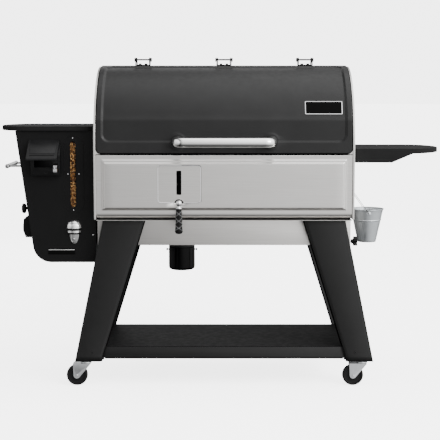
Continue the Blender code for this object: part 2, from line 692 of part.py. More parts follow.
def ash_cup():
    """The ash cup on its collar, held by two bayonet pins."""
    y, top = depth(FIRE_DEPTH), 0.4780
    collar = turned("ash_collar", [(0.0485, 0.4920), (0.0485, 0.4783), (0.0415, 0.4783), (0.0415, 0.4920)],
                    (FIRE_X, y, 0), "Z", BLACK_COAT, steps=24, closed=True)
    for sign in (-1, 1):
        rail = sorted((y + sign * 0.0412, y + sign * 0.0480))
        join(collar, box(f"gate_rail_{sign}", (FIRE_X - 0.047, rail[0], 0.4910),
                         (FIRE_X + 0.047, rail[1], 0.5012)))
    radius, wall, bottom, corner = 0.049, 0.002, 0.3908, 0.012
    outside = [(radius, top)] + arc(radius - corner, bottom + corner, corner, 0, -90, 4) + [(0, bottom)]
    inside = [(0, bottom + wall)] + arc(radius - corner, bottom + corner, corner - wall, -90, 0, 3)
    inside += [(radius - wall, top)]
    cup = turned("ash_cup", outside + inside, (FIRE_X, y, 0), "Z", BLACK_COAT, steps=26, closed=True)
    for sign in (-1, 1):
        root = FIRE_X + sign * 0.0480, y, 0.4662
        tip = FIRE_X + sign * 0.0545, y, 0.4662
        join(cup,
             cylinder(f"bayonet_pin_{sign}", 0.0020, root, tip, steps=8),
             ball(f"bayonet_ball_{sign}", tip, 0.0040, segments=8, rings=5))
    pivot("ash_cup_axis", (FIRE_X, y, top), cup)


# Right side: shelf, spout and bucket

def overhang_outline(inner_x, outer_x, corner):
    """Plan of a shelf or lid: straight at the body, bowed at its free end."""
    sign = 1 if outer_x > inner_x else -1
    half = (OVERHANG_REAR - OVERHANG_FRONT) / 2
    bow = 0.100
    start_x = outer_x - sign * bow
    outline = [(inner_x + sign * corner, OVERHANG_FRONT)]
    steps = 16
    for i in range(steps + 1):
        angle = math.radians(-90 + 180 * i / steps)
        reach = sign * bow * math.cos(angle)
        outline.append((start_x + reach, OVERHANG_FRONT + half + half * math.sin(angle)))
    outline.append((inner_x, OVERHANG_REAR))
    outline.append((inner_x, OVERHANG_FRONT + corner))
    return shifted(outline, 0, FRONT_Y)


def side_shelf():
    """The right shelf: a pressed top with an apron that tapers towards its free end."""
    outline = overhang_outline(SHELF_INNER_X, SPAN_HALF, 0.004)
    shelf = plate("side_shelf", outline, "XY", SHELF_APRON_Z, SHELF_TOP_Z, BLACK_COAT)
    hollow = plate("shelf_underside", inset(outline, THIN), "XY", SHELF_APRON_Z - 0.01, SHELF_TOP_Z - THIN)
    taper = [(0.6139, SHELF_APRON_Z), (0.6895, 0.8340), (0.83, 0.8370), (0.83, 0.78), (0.6139, 0.78)]
    cut(shelf, hollow, plate("apron_taper", taper, "XZ", depth(0.0), depth(0.5)))
    for label, near in (("front", 0.120), ("rear", 0.290)):
        join(shelf, box(f"shelf_bracket_{label}", (side(BODY_HALF + GAP), depth(near), 0.806),
                        (SHELF_INNER_X + 0.001, depth(near + 0.030), 0.848)))


def drain_spout():
    """The grease spout through the right end panel's face, with the hook for the bucket over it."""
    x, y = side(BODY_HALF + GAP), depth(BUCKET_DEPTH)
    spout = box("drain_spout", (x, y - 0.028, 0.636), (x + THIN, y + 0.028, 0.697), GALVANISED)
    channel = turned("spout_channel", [(0.0115, 0.030), (0.0115, 0), (0.0095, 0), (0.0095, 0.030)],
                     (x + 0.001, y, 0.655), "X", steps=16, closed=True)
    hook_path = [(x + 0.001, y, 0.694), (x + 0.0195, y, 0.694), (x + 0.0230, y, 0.6972)]
    join(spout, channel, tube("bucket_hook", rounded(hook_path, 0.004, 4), 0.0025, resolution=2))
    cut(spout, cylinder("spout_bore", 0.0090, (x - 0.01, y, 0.655), (x + 0.05, y, 0.655)),
        box("spout_open_top", (x + 0.008, y - 0.02, 0.6585), (x + 0.05, y + 0.02, 0.68)))


def bucket():
    """The grease bucket: a flared pail with a bead, a wired rim and a bail."""
    y, bottom, rim = depth(BUCKET_DEPTH), 0.4800, 0.6079
    low_r, high_r, wall = 0.0348, 0.0622, 0.0015
    rise = rim - bottom

    def radius(z):
        """The pail's outer radius at a height."""
        return low_r + (high_r - low_r) * (z - bottom) / rise

    outside = [(high_r, rim), (high_r + 0.0024, rim - 0.0015), (high_r + 0.0024, rim - 0.0045),
               (radius(rim - 0.006), rim - 0.006), (radius(0.5665), 0.5665),
               (radius(0.5643) + 0.0016, 0.5643), (radius(0.5620), 0.5620), (low_r, bottom), (0, bottom)]
    inside = [(0, bottom + wall), (low_r - wall, bottom + wall), (high_r - wall, rim)]
    pail = turned("bucket", outside + inside, (BUCKET_X, y, 0), "Z", GALVANISED, steps=30, closed=True)
    ear_z, reach = 0.5935, 0.0655
    for sign in (-1, 1):
        ear = slot(BUCKET_X, ear_z - 0.008, ear_z + 0.008, 0.013, 4)
        span = sorted((y + sign * (reach + 0.0008), y + sign * 0.0575))
        join(pail, plate(f"bucket_ear_{sign}", ear, "XZ", *span))
    hook = Vector((side(BODY_HALF) + 0.0120, y, 0.7000))
    ear_point = Vector((BUCKET_X, y, ear_z))
    lean = hook - ear_point
    bail_r, stand = 0.0012, 0.0680
    shoulder = lean * 0.50
    path = [ear_point + Vector((0, -stand, 0))]
    steps = 24
    for i in range(steps + 1):
        angle = math.pi * i / steps
        climb = shoulder + (lean - shoulder) * math.sin(angle)
        path.append(ear_point + climb + Vector((0, -stand * math.cos(angle), 0)))
    path.append(ear_point + Vector((0, stand, 0)))
    bail = tube("bucket_bail", path, bail_r, GALVANISED, resolution=2)
    pivot("bucket_axis", (BUCKET_X, y, bottom), pail)
    pivot("bail_axis", ear_point, bail)


# Left side: pellet hopper and feed

def wall_x(z):
    """World X of the hopper's slanted left wall at a height."""
    return HOPPER_TOP_LEFT_X + HOPPER_WALL_SLOPE * (HOPPER_TOP_Z - z)


def hopper_outline():
    """Front view of the hopper: slanted on the left, with a large round lower corner."""
    radius = 0.066
    lean = math.degrees(math.atan(HOPPER_WALL_SLOPE))
    slant = math.sqrt(1 + HOPPER_WALL_SLOPE ** 2)
    centre_z = HOPPER_FLOOR_Z + radius
    centre_x = wall_x(centre_z) + radius * slant
    corner = arc(centre_x, centre_z, radius, 180 + lean, 270, 10)
    return ([(HOPPER_TOP_LEFT_X, HOPPER_TOP_Z)] + corner
            + [(HOPPER_RIGHT_X, HOPPER_FLOOR_Z), (HOPPER_RIGHT_X, HOPPER_TOP_Z)])


def hopper_body():
    """The hopper's casing, open on top, with the window slot and the feed and air holes."""
    outline = hopper_outline()
    hollow = inset(outline, SHEET)
    hollow[0] = (wall_x(HOPPER_TOP_Z + 0.02) + SHEET, HOPPER_TOP_Z + 0.02)
    hollow[-1] = (HOPPER_RIGHT_X - SHEET, HOPPER_TOP_Z + 0.02)
    y = depth(FIRE_DEPTH)
    body = plate("hopper_body", outline, "XZ", depth(HOPPER_FRONT), depth(HOPPER_REAR), BLACK_COAT)
    cut(body,
        plate("hopper_hollow", hollow, "XZ", depth(HOPPER_FRONT + SHEET), depth(HOPPER_REAR - SHEET)),
        plate("window_slot", slot(WINDOW_X, 0.640, 0.877, 0.0195), "XZ", depth(0.07), depth(0.09)),
        cylinder("feed_hole", AUGER_TUBE_R + 0.0005, (-0.47, y, AUGER_Z), (-0.43, y, AUGER_Z), steps=20),
        cylinder("air_hole", 0.026, (-0.47, depth(0.330), 0.550), (-0.43, depth(0.330), 0.550)),
        cylinder("cleanout_rod_hole", 0.0056, (-0.72, depth(0.215), 0.6229), (-0.66, depth(0.215), 0.6229),
                 steps=12),
        box("chute_hole", (-0.72, depth(0.176), 0.530), (-0.66, depth(0.254), 0.590)),
        rear_vent())


def rear_vent():
    """Cutter for the row of air slots low on the hopper's back."""
    vent = box("rear_vent_0", (-0.60, depth(0.34), 0.480), (-0.592, depth(0.37), 0.520))
    for i in range(1, 6):
        x = -0.60 + 0.018 * i
        join(vent, box(f"rear_vent_{i}", (x, depth(0.34), 0.480), (x + 0.008, depth(0.37), 0.520)))
    return vent


def hopper_bin():
    """The trough in the hopper that leads the pellets down to the auger, and the window in front of it."""
    path = [(-0.7025, 0.7315), (-0.555, 0.5870), (-0.505, 0.5870), (-0.4510, 0.6500)]
    under = [(u, v - 0.0035) for u, v in path[::-1]]
    under[0] = (-0.4510, 0.6462)
    under[1] = (-0.5035, 0.5848)
    under[2] = (-0.5562, 0.5848)
    under[3] = (-0.7025, 0.7280)
    trough = plate("hopper_bin", path + under, "XZ", depth(HOPPER_FRONT + SHEET + GAP),
                   depth(HOPPER_REAR - SHEET - GAP), GALVANISED)
    start = HOPPER_FRONT + SHEET + GAP
    cut(trough,
        box("bin_outlet", (-0.552, depth(FIRE_DEPTH - 0.014), 0.57),
            (-0.508, depth(FIRE_DEPTH + 0.014), 0.60)),
        box("window_clearance", (-0.545, depth(0.07), 0.60), (-0.508, depth(start + 0.0025), 0.90)))
    strip = slot(WINDOW_X, 0.636, 0.881, 0.027)
    plate("pellet_window", strip, "XZ", depth(start), depth(start + 0.002), CLEAR)


def hopper_lid():
    """The hopper's bowed lid, hinged at its back."""
    outline = overhang_outline(HOPPER_RIGHT_X - 0.0005, -SPAN_HALF, 0.024)
    low = HOPPER_TOP_Z + 0.0008
    body = plate("hopper_lid", outline, "XY", low, HOPPER_LID_TOP_Z, BLACK_COAT)
    cut(body, plate("hopper_lid_underside", inset(outline, SHEET), "XY", low - 0.01,
                    HOPPER_LID_TOP_Z - SHEET))
    pivot("hopper_lid_axis", (-0.62, depth(OVERHANG_REAR), low), body)


def controller():
    """The controller: a sloping housing with a roller, under a hood that flips up."""
    left, right = -0.6725, -0.5690
    profile = [(0.0797, 0.866), (0.050, 0.842), (0.040, 0.828), (0.040, 0.795), (0.052, 0.757),
               (0.0797, 0.757)]
    housing = plate("controller_housing", shifted(profile, FRONT_Y), "YZ", left, right, BLACK_PLASTIC)
    cut(housing,
        box("display_recess", (-0.6600, depth(0.03), 0.7870), (-0.5960, depth(0.0445), 0.8220)),
        box("roller_notch", (-0.5910, depth(0.02), 0.7650), (-0.5742, depth(0.0460), 0.8005)))
    hood_left, hood_right = -0.6830, -0.5655
    outer = [(0.0796, 0.884), (-0.0005, 0.8210), (-0.0005, 0.8145), (0.0796, 0.8145)]
    inner = [(0.0900, 0.8880), (0.0020, 0.8187), (0.0020, 0.80), (0.0900, 0.80)]
    hood = plate("controller_hood", shifted(outer, FRONT_Y), "YZ", hood_left, hood_right, BLACK_PLASTIC)
    cut(hood, plate("hood_hollow", shifted(inner, FRONT_Y), "YZ", hood_left + THIN, hood_right - THIN))
    pivot("hood_axis", ((hood_left + hood_right) / 2, depth(0.0790), 0.8835), hood)
    roller_profile = [(0, 0.0080), (0.0125, 0.0080), (0.0145, 0.0060), (0.0145, 0.0006), (0.0132, 0),
                      (0.0145, -0.0006), (0.0145, -0.0060), (0.0125, -0.0080), (0, -0.0080)]
    roller_place = -0.5826, depth(0.0300), 0.7828
    roller = turned("selector_knob", roller_profile, roller_place, "X", POLISHED, steps=24)
    pivot("selector_axis", roller_place, roller)


def side_handle():
    """The grab bar on the hopper's left wall."""
    x, z = -0.769, 0.786
    profile = [(0, 0.1000), (0.0065, 0.1000), (0.0080, 0.0985), (0.0080, -0.0985), (0.0065, -0.1000),
               (0, -0.1000)]
    bar = turned("side_handle", profile, (x, depth(0.215), z), "Y", STAINLESS, steps=20)
    for label, near in (("front", 0.135), ("rear", 0.295)):
        join(bar, cylinder(f"handle_post_{label}", 0.0035, (x, depth(near), z),
                           (wall_x(z) - 0.0008, depth(near), z), steps=10))


def cleanout():
    """The pellet clean-out on the hopper's left wall: a chute, and the knob that pulls its gate."""
    knob_x = -0.7341
    lengths = [(0, 0), (0.0110, 0), (0.0165, 0.0018), (0.0185, 0.0050), (0.0170, 0.0080), (0.0070, 0.0095),
               (0.0050, 0.0120), (0.0050, 0.1330), (0, 0.1330)]
    profile = [(radius, -height) for radius, height in lengths]
    knob = turned("cleanout_knob", profile, (knob_x, depth(0.215), 0.6229), "X", BLACK_PLASTIC, steps=20)
    knob.rotation_euler = (0, -math.pi / 2, 0)
    pivot("cleanout_axis", (knob_x, depth(0.215), 0.6229), knob)
    top, bottom = 0.6020, 0.5200
    outline = [(wall_x(top) - 0.0005, top), (-0.7080, 0.6000), (-0.7215, 0.5880), (-0.7246, 0.5650),
               (-0.7246, 0.5450), (-0.7150, bottom), (wall_x(bottom) - 0.0005, bottom)]
    hollow = inset(outline, THIN)
    hollow[0] = (hollow[0][0] + 0.02, hollow[0][1])
    hollow[-1] = (hollow[-1][0] + 0.02, bottom - 0.01)
    hollow[-2] = (hollow[-2][0], bottom - 0.01)
    chute = plate("cleanout_chute", outline, "XZ", depth(0.170), depth(0.260), BLACK_COAT)
    cut(chute, plate("chute_hollow", hollow, "XZ", depth(0.170 + THIN), depth(0.260 - THIN)))


def bottle_opener():
    """The bottle opener on the hopper's front: a domed hood over a rounded tongue."""
    x, y, z = -0.5240, depth(HOPPER_FRONT - GAP), 0.5692
    tongue = [(x - 0.0170, 0.5600), (x - 0.0162, 0.5400), (x - 0.0110, 0.5180)]
    tongue += arc(x, 0.5187, 0.0100, 200, 340, 8)
    tongue += [(x + 0.0110, 0.5180), (x + 0.0162, 0.5400), (x + 0.0170, 0.5600)]
    body = plate("bottle_opener", tongue, "XZ", y - 0.0030, y, POLISHED)
    dome = ball("opener_dome", (x, y, z), 0.0245, segments=20, rings=10)
    dome.data.transform(Matrix.Diagonal((1, 0.80, 1, 1)))
    cut(dome, box("opener_back", (x - 0.04, y, z - 0.04), (x + 0.04, y + 0.03, z + 0.04)),
        box("opener_mouth", (x - 0.04, y - 0.03, 0.50), (x + 0.04, y + 0.01, 0.5550)))
    join(body, dome)


def feed():
    """The auger in its tube, its motor, and the combustion fan."""
    y = depth(FIRE_DEPTH)
    motor = box("auger_motor", (-0.660, y - 0.028, 0.532), (-0.600, y + 0.028, 0.588), BLACK_COAT)
    bevel(motor, 0.004, 1)
    casing = turned("auger_tube", [(AUGER_TUBE_R, 0.2005), (AUGER_TUBE_R, -0.2010), (0.0215, -0.2010),
                                   (0.0215, 0.2005)],
                    (-0.3890, y, AUGER_Z), "X", GALVANISED, steps=24, closed=True)
    cut(casing, box("feed_inlet", (-0.552, y - 0.014, AUGER_Z), (-0.508, y + 0.014, 0.60)))
    shaft = cylinder("auger", 0.0065, (-0.5990, y, AUGER_Z), (-0.1950, y, AUGER_Z), STAINLESS, steps=8)
    join(shaft, flight("auger_flight", (-0.5850, y, AUGER_Z), 0.385, 0.045))
    pivot("auger_axis", (-0.5990, y, AUGER_Z), shaft)
    fan_y, fan_z = depth(0.308), 0.500
    blades = []
    for i in range(7):
        start = 360 / 7 * i
        blades += arc(fan_y, fan_z, 0.0090, start, start + 14, 1)
        blades += arc(fan_y, fan_z, 0.0290, start + 26, start + 38, 1)
    fan = plate("combustion_fan", blades, "YZ", -0.530, -0.514, BLACK_PLASTIC)
    pivot("fan_axis", (-0.522, fan_y, fan_z), fan)


def flight(name, start, length, pitch):
    """The auger's screw thread: a thin radial blade spun along its shaft."""
    inner, outer, half = 0.0050, 0.0190, 0.0012
    shape = bmesh.new()
    corners = [(-half, inner), (half, inner), (half, outer - 0.0005), (-half, outer - 0.0005)]
    blade = shape.faces.new([shape.verts.new((start[0] + u, start[1], start[2] + v)) for u, v in corners])
    turns = length / pitch
    steps = round(turns * 8)
    bmesh.ops.spin(shape, geom=[blade, *blade.edges, *blade.verts], cent=start, axis=(1, 0, 0),
                   dvec=(length / steps, 0, 0), angle=math.tau * turns, steps=steps, use_duplicate=False)
    bmesh.ops.recalc_face_normals(shape, faces=shape.faces)
    mesh = bpy.data.meshes.new(name)
    shape.to_mesh(mesh)
    shape.free()
    return keep(bpy.data.objects.new(name, mesh), name, None)


def power_inlet():
    """The mains inlet on the hopper's back, with its socket."""
    low_y = depth(HOPPER_REAR + GAP)
    inlet = box("power_inlet", (-0.640, low_y, 0.455), (-0.590, low_y + 0.006, 0.480), BLACK_PLASTIC)
    cut(inlet, box("inlet_socket", (-0.628, low_y + 0.0015, 0.459), (-0.602, low_y + 0.02, 0.476)))


clear_scene()
PARTS = collection("pellet_smoker_grill")
GUIDES = collection("guides")
legs()
bottom_shelf()
casters()
belly_tub()
front_panel()
lever_plate()
end_panels()
rear_shell()
exhaust_duct()
lid_assembly()
drip_tray()
grate("main_grate", 0.030, 0.545, 0.8000, 20)
grate("upper_rack", 0.240, 0.500, 0.9300, 16)
fire_box()
lever()
ash_gate()
ash_cup()
side_shelf()
drain_spout()
bucket()
hopper_body()
hopper_bin()
hopper_lid()
controller()
side_handle()
cleanout()
bottle_opener()
feed()
power_inlet()
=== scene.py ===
"""Looks of the pellet smoker grill: materials, fine detail, studio and camera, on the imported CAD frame."""
import json
import math
import random

import bmesh
import bpy
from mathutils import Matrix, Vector


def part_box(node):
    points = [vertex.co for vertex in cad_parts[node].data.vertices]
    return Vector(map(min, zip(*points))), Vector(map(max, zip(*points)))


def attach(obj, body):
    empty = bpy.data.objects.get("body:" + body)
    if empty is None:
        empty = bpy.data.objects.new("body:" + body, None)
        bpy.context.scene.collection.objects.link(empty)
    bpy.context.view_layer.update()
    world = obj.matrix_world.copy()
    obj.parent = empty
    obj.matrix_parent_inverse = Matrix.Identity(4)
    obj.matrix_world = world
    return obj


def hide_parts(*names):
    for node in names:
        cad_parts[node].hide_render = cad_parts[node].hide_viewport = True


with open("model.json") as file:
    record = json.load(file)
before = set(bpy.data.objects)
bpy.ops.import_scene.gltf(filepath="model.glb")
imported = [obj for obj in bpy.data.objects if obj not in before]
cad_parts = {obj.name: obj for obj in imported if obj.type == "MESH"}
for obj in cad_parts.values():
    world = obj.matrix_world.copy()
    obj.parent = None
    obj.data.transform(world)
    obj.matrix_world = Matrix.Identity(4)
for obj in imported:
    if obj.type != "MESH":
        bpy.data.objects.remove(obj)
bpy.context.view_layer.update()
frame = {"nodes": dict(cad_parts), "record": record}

NODES = frame["nodes"]
BODY = {node: body for body, nodes in frame["record"]["behaviour"]["bodies"].items() for node in nodes}
SLOT = {entry["node"]: entry["material_slot"] for entry in frame["record"]["subparts"]}
X_AXIS, Y_AXIS, Z_AXIS = Vector((1, 0, 0)), Vector((0, 1, 0)), Vector((0, 0, 1))
PANEL_PROUD = 0.006  # how far the front panel's face stands ahead of the belly tub


def mid(node, axis):
    """Middle of a node's box along an axis, by its number."""
    low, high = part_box(node)
    return (low[axis] + high[axis]) / 2


MIDDLE = mid("lid", 0)
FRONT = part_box("belly_tub")[0].y - PANEL_PROUD


def depth(distance):
    """World Y of a distance behind the front panel's face."""
    return FRONT + distance


def side(half):
    """World X of a signed distance from the chamber's middle plane."""
    return MIDDLE + half


# Materials

NOISE_BAND = (0.3, 0.7)  # the part of a noise value that is spread over a range


class Look:
    """A procedural material: one Principled shader, fed by textures in object coordinates."""

    def __init__(self, name, colour, roughness, Metallic=0.0, **settings):
        self.material = bpy.data.materials.new(name)
        self.material.use_nodes = True
        self.tree = self.material.node_tree
        self.shader = self.tree.nodes["Principled BSDF"]
        self.colour = colour
        self.set(self.shader, Base_Color=(*colour, 1), Roughness=roughness, Metallic=Metallic, **settings)
        self.height = None

    def set(self, node, **values):
        """Sets a node's input sockets by name."""
        for name, value in values.items():
            node.inputs[name.replace("_", " ")].default_value = value
        return node

    def node(self, kind, **values):
        """A new node with some inputs set."""
        return self.set(self.tree.nodes.new(kind), **values)

    def link(self, output, node, socket):
        """Joins an output to a named input of a node."""
        self.tree.links.new(output, node.inputs[socket])

    def place(self, texture, stretch=(1, 1, 1)):
        """Feeds a texture with stretched object coordinates."""
        mapping = self.node("ShaderNodeMapping", Scale=stretch)
        self.link(self.node("ShaderNodeTexCoord").outputs["Object"], mapping, "Vector")
        self.link(mapping.outputs["Vector"], texture, "Vector")

    def noise(self, scale, stretch=(1, 1, 1), detail=3.0, roughness=0.5):
        """A noise value between 0 and 1, scale cells to the metre."""
        made = self.node("ShaderNodeTexNoise", Scale=scale, Detail=detail, Roughness=roughness)
        self.place(made, stretch)
        return made.outputs["Fac"]

    def cells(self, scale, output="Color"):
        """Voronoi cells, scale cells to the metre."""
        made = self.node("ShaderNodeTexVoronoi", Scale=scale)
        self.place(made)
        return made.outputs[output]

    def tint(self, value, dark, light, band=NOISE_BAND):
        """Colours the surface between two colours, over a band of the value."""
        ramp = self.node("ShaderNodeValToRGB")
        for element, place, colour in zip(ramp.color_ramp.elements, band, (dark, light)):
            element.position = place
            element.color = (*colour, 1)
        self.link(value, ramp, "Fac")
        self.link(ramp.outputs["Color"], self.shader, "Base Color")

    def shade(self, value, spread, band=NOISE_BAND):
        """Varies the base colour by a fraction."""
        dark, light = ([c * share for c in self.colour] for share in (1 - spread, 1 + spread))
        self.tint(value, dark, light, band)

    def rough(self, value, low, high):
        """Varies the roughness between two values."""
        start, end = NOISE_BAND
        made = self.node("ShaderNodeMapRange", From_Min=start, From_Max=end, To_Min=low, To_Max=high)
        self.link(value, made, "Value")
        self.link(made.outputs["Result"], self.shader, "Roughness")

    def bump(self, value, height, strength):
        """Adds a layer of relief, its height in metres."""
        made = self.node("ShaderNodeBump", Distance=height, Strength=strength)
        self.link(value, made, "Height")
        if self.height is not None:
            self.link(self.height, made, "Normal")
        self.height = made.outputs["Normal"]
        self.link(self.height, self.shader, "Normal")


def coat(name, colour, roughness, **settings):
    """Powder coat: a fine orange peel with faint cloudiness."""
    made = Look(name, colour, roughness, **settings)
    made.shade(made.noise(14, detail=4), 0.1)
    made.rough(made.noise(60, detail=4), roughness - 0.05, roughness + 0.06)
    made.bump(made.noise(900, detail=2), 0.00006, 0.7)
    return made.material


def brushed(name, colour, roughness, grain, relief=0.00002):
    """Brushed steel whose grain runs along one axis: long fine scratches and soft clouds."""
    stretch = [1.0, 1.0, 1.0]
    stretch[grain] = 0.012
    made = Look(name, colour, roughness, 1.0)
    made.shade(made.noise(420, stretch, 5, 0.65), 0.07)
    made.rough(made.noise(260, stretch, 4, 0.6), roughness - 0.04, roughness + 0.05)
    made.bump(made.noise(900, stretch, 4, 0.7), relief, 0.8)
    made.bump(made.noise(7, detail=2), 0.0006, 0.25)
    return made.material


def zinc(name, colour, roughness, spangle=0.06):
    """Zinc-coated steel with a faint spangle."""
    made = Look(name, colour, roughness, 1.0)
    made.shade(made.cells(130), spangle, (0, 1))
    made.rough(made.noise(50, detail=4), roughness - 0.06, roughness + 0.08)
    made.bump(made.noise(500, detail=3), 0.00004, 0.6)
    return made.material


def polished(name, colour, roughness):
    """Polished metal with faint smudges."""
    made = Look(name, colour, roughness, 1.0)
    made.shade(made.noise(30, detail=4), 0.03)
    made.rough(made.noise(45, detail=5), roughness * 0.7, roughness * 1.5)
    made.bump(made.noise(700, detail=2), 0.00001, 0.4)
    return made.material


def moulded(name, colour, roughness, grain=900, relief=0.00008, **settings):
    """Moulded plastic or rubber with a fine leathery grain."""
    made = Look(name, colour, roughness, **settings)
    made.shade(made.noise(25, detail=3), 0.12)
    made.rough(made.noise(80, detail=3), roughness - 0.05, roughness + 0.07)
    made.bump(made.cells(grain, "Distance"), relief, 0.6)
    return made.material


def sooty(name, colour, roughness):
    """Metal that has seen smoke: dark, blotchy and a little greasy."""
    made = Look(name, colour, roughness, 0.4)
    made.tint(made.noise(18, detail=6, roughness=0.65), [c * 0.45 for c in colour], (0.06, 0.045, 0.035))
    made.rough(made.noise(35, detail=5), roughness - 0.15, roughness + 0.2)
    made.bump(made.noise(260, detail=4), 0.0002, 0.5)
    return made.material


def wood(name, colour):
    """Pressed sawdust: mottled brown, with rough ends."""
    made = Look(name, colour, 0.8, Specular_IOR_Level=0.15)
    made.shade(made.noise(300, detail=4), 0.45)
    made.rough(made.noise(400), 0.7, 0.9)
    made.bump(made.noise(1400, detail=4), 0.0003, 0.8)
    return made.material


def clear(name):
    """Clear plastic strip: thin, glossy and slightly scuffed."""
    made = Look(name, (0.05, 0.05, 0.05), 0.05, Alpha=0.05, Specular_IOR_Level=0.5)
    made.shade(made.noise(60, detail=4), 0.1)
    made.rough(made.noise(40, detail=4), 0.03, 0.1)
    made.bump(made.noise(30, detail=2), 0.00001, 0.2)
    return made.material


LID_COAT = coat("lid_coat", (0.0105, 0.0105, 0.0106), 0.4, Metallic=0.2, Specular_IOR_Level=0.24)
BLACK = coat("black_coat", (0.004, 0.004, 0.004), 0.46, Specular_IOR_Level=0.22)
LEG = coat("leg_coat", (0.0078, 0.0078, 0.0078), 0.45, Specular_IOR_Level=0.22)
SHELF = coat("shelf_coat", (0.0062, 0.0062, 0.0063), 0.62, Specular_IOR_Level=0.03)
SIDE_SHELF = coat("side_shelf_coat", (0.0135, 0.0135, 0.0136), 0.6, Specular_IOR_Level=0.03)
HOPPER = coat("hopper_coat", (0.0036, 0.0036, 0.0037), 0.48, Specular_IOR_Level=0.12)
HOPPER_LID = coat("hopper_lid_coat", (0.013, 0.013, 0.0131), 0.66, Specular_IOR_Level=0.02)
BADGE = coat("badge_coat", (0.0012, 0.0012, 0.0012), 0.4, Specular_IOR_Level=0.03)
STEEL = brushed("brushed_steel_across", (0.6, 0.588, 0.572), 0.31, 0)
STEEL_LOW = brushed("brushed_steel_belly", (0.6, 0.586, 0.568), 0.42, 0)
STEEL_SIDE = brushed("brushed_steel_side", (0.58, 0.57, 0.556), 0.36, 1)
STEEL_BAR = brushed("brushed_steel_bar", (0.92, 0.92, 0.91), 0.17, 0, 0.00001)
CHROME = polished("polished_trim", (0.75, 0.75, 0.76), 0.12)
OPENER = polished("cast_opener", (0.86, 0.86, 0.86), 0.22)
GRAB = polished("grab_bar_steel", (0.36, 0.36, 0.36), 0.16)
# A darker copy of the opener's cast metal: painted shade on the tongue below the hood.
TONGUE_PAINTED_SHADE = polished("cast_tongue_painted_shade", (0.3, 0.3, 0.3), 0.24)
ZINC = zinc("zinc_coat", (0.46, 0.475, 0.49), 0.4)
CASTER = zinc("caster_zinc", (0.52, 0.53, 0.54), 0.38)
PAIL = zinc("pail_steel", (0.475, 0.5, 0.515), 0.44, 0.04)
WIRE = zinc("bail_wire_zinc", (0.07, 0.068, 0.065), 0.45)
ENAMEL = coat("black_enamel", (0.0015, 0.0015, 0.0016), 0.17, Specular_IOR_Level=0.07)
PLASTIC = moulded("black_plastic", (0.0035, 0.0035, 0.0037), 0.45, Specular_IOR_Level=0.2)
HOOD = moulded("hood_plastic", (0.0056, 0.0056, 0.0059), 0.46, Specular_IOR_Level=0.18)
GLASS = coat("display_glass", (0.0012, 0.0012, 0.0015), 0.1, Specular_IOR_Level=0.06)
RUBBER = moulded("grip_rubber", (0.002, 0.002, 0.002), 0.6, 500, 0.0002, Specular_IOR_Level=0.15)
RIB = moulded("grip_rib_rubber", (0.1, 0.1, 0.102), 0.5, 500, 0.0001, Specular_IOR_Level=0.3)
TREAD = moulded("wheel_rubber", (0.0035, 0.0035, 0.0035), 0.6, 400, 0.0002, Specular_IOR_Level=0.2)
SOOT = sooty("smoked_metal", (0.03, 0.028, 0.026), 0.5)
TRAY = sooty("smoked_tray", (0.05, 0.046, 0.042), 0.45)
IRON = coat("grate_enamel", (0.012, 0.012, 0.012), 0.35, Specular_IOR_Level=0.4)
# Near-black coat: the own colour of the cup pins and trim plate, and painted shade where it fills slots,
# gaps, grooves, the opener's throat, the lid's rolled edge and the legs' inner walls.
BLACK_AND_PAINTED_SHADE = coat("black_parts_and_painted_shade", (0.0015, 0.0015, 0.0015), 0.7, Specular_IOR_Level=0.05)
WOODS = (wood("pellet_wood", (0.3, 0.14, 0.04)), wood("light_pellet_wood", (0.62, 0.35, 0.13)),
         wood("dark_pellet_wood", (0.11, 0.045, 0.012)))
# Darker than any pellet: painted shade in the gaps between the heaped pellets.
PELLET_BED_PAINTED_SHADE = wood("pellet_bed_painted_shade", (0.045, 0.02, 0.008))
CLEAR = clear("clear_plastic")

LOOKS = {"graphite_coat": LID_COAT, "black_coat": BLACK, "stainless": STEEL, "chrome_trim": CHROME,
         "galvanised": ZINC, "enamel": ENAMEL, "black_plastic": PLASTIC, "grip_rubber": RUBBER,
         "wheel_tread": TREAD, "clear_window": CLEAR}
for name, node in NODES.items():
    for entry in node.material_slots:
        entry.link = "OBJECT"
        entry.material = LOOKS[SLOT[name]]


# Mesh helpers

FOLD_ANGLE = 32  # folds sharper than this, in degrees, are rounded


def piece(name, shape, looks, node, replaces=False, angle=35):
    """Makes a mesh a piece that rides with a CAD node, or on a body, and may stand for the node."""
    mesh = bpy.data.meshes.new(name)
    shape.to_mesh(mesh)
    shape.free()
    for look in looks if isinstance(looks, tuple) else (looks,):
        mesh.materials.append(look)
    mesh.polygons.foreach_set("use_smooth", [True] * len(mesh.polygons))
    mesh.set_sharp_from_angle(angle=math.radians(angle))
    made = bpy.data.objects.new(name, mesh)
    bpy.context.scene.collection.objects.link(made)
    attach(made, BODY.get(node, node))
    if replaces:
        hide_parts(node)
    return made


def solid(name, shape, looks, node, replaces=False):
    """Makes a closed mesh a piece, with its faces turned outward."""
    bmesh.ops.recalc_face_normals(shape, faces=shape.faces[:])
    return piece(name, shape, looks, node, replaces)


def walled(made, thickness):
    """Gives a sheet its thickness, behind its face."""
    wall = made.modifiers.new("wall", "SOLIDIFY")
    wall.thickness = thickness
    wall.offset = -1
    return wall


def refined(node, look, width, segments=2):
    """A finer copy of a CAD node, with its folds rounded."""
    shape = bmesh.new()
    shape.from_mesh(NODES[node].data)
    bmesh.ops.remove_doubles(shape, verts=shape.verts[:], dist=1e-5)
    bmesh.ops.dissolve_limit(shape, angle_limit=math.radians(0.6), verts=shape.verts[:], edges=shape.edges[:])
    made = piece(node + "_formed", shape, look, node, True, FOLD_ANGLE)
    bevel = made.modifiers.new("bevel", "BEVEL")
    bevel.width = width
    bevel.segments = segments
    bevel.limit_method = "ANGLE"
    bevel.angle_limit = math.radians(FOLD_ANGLE)
    bevel.harden_normals = True
    return made


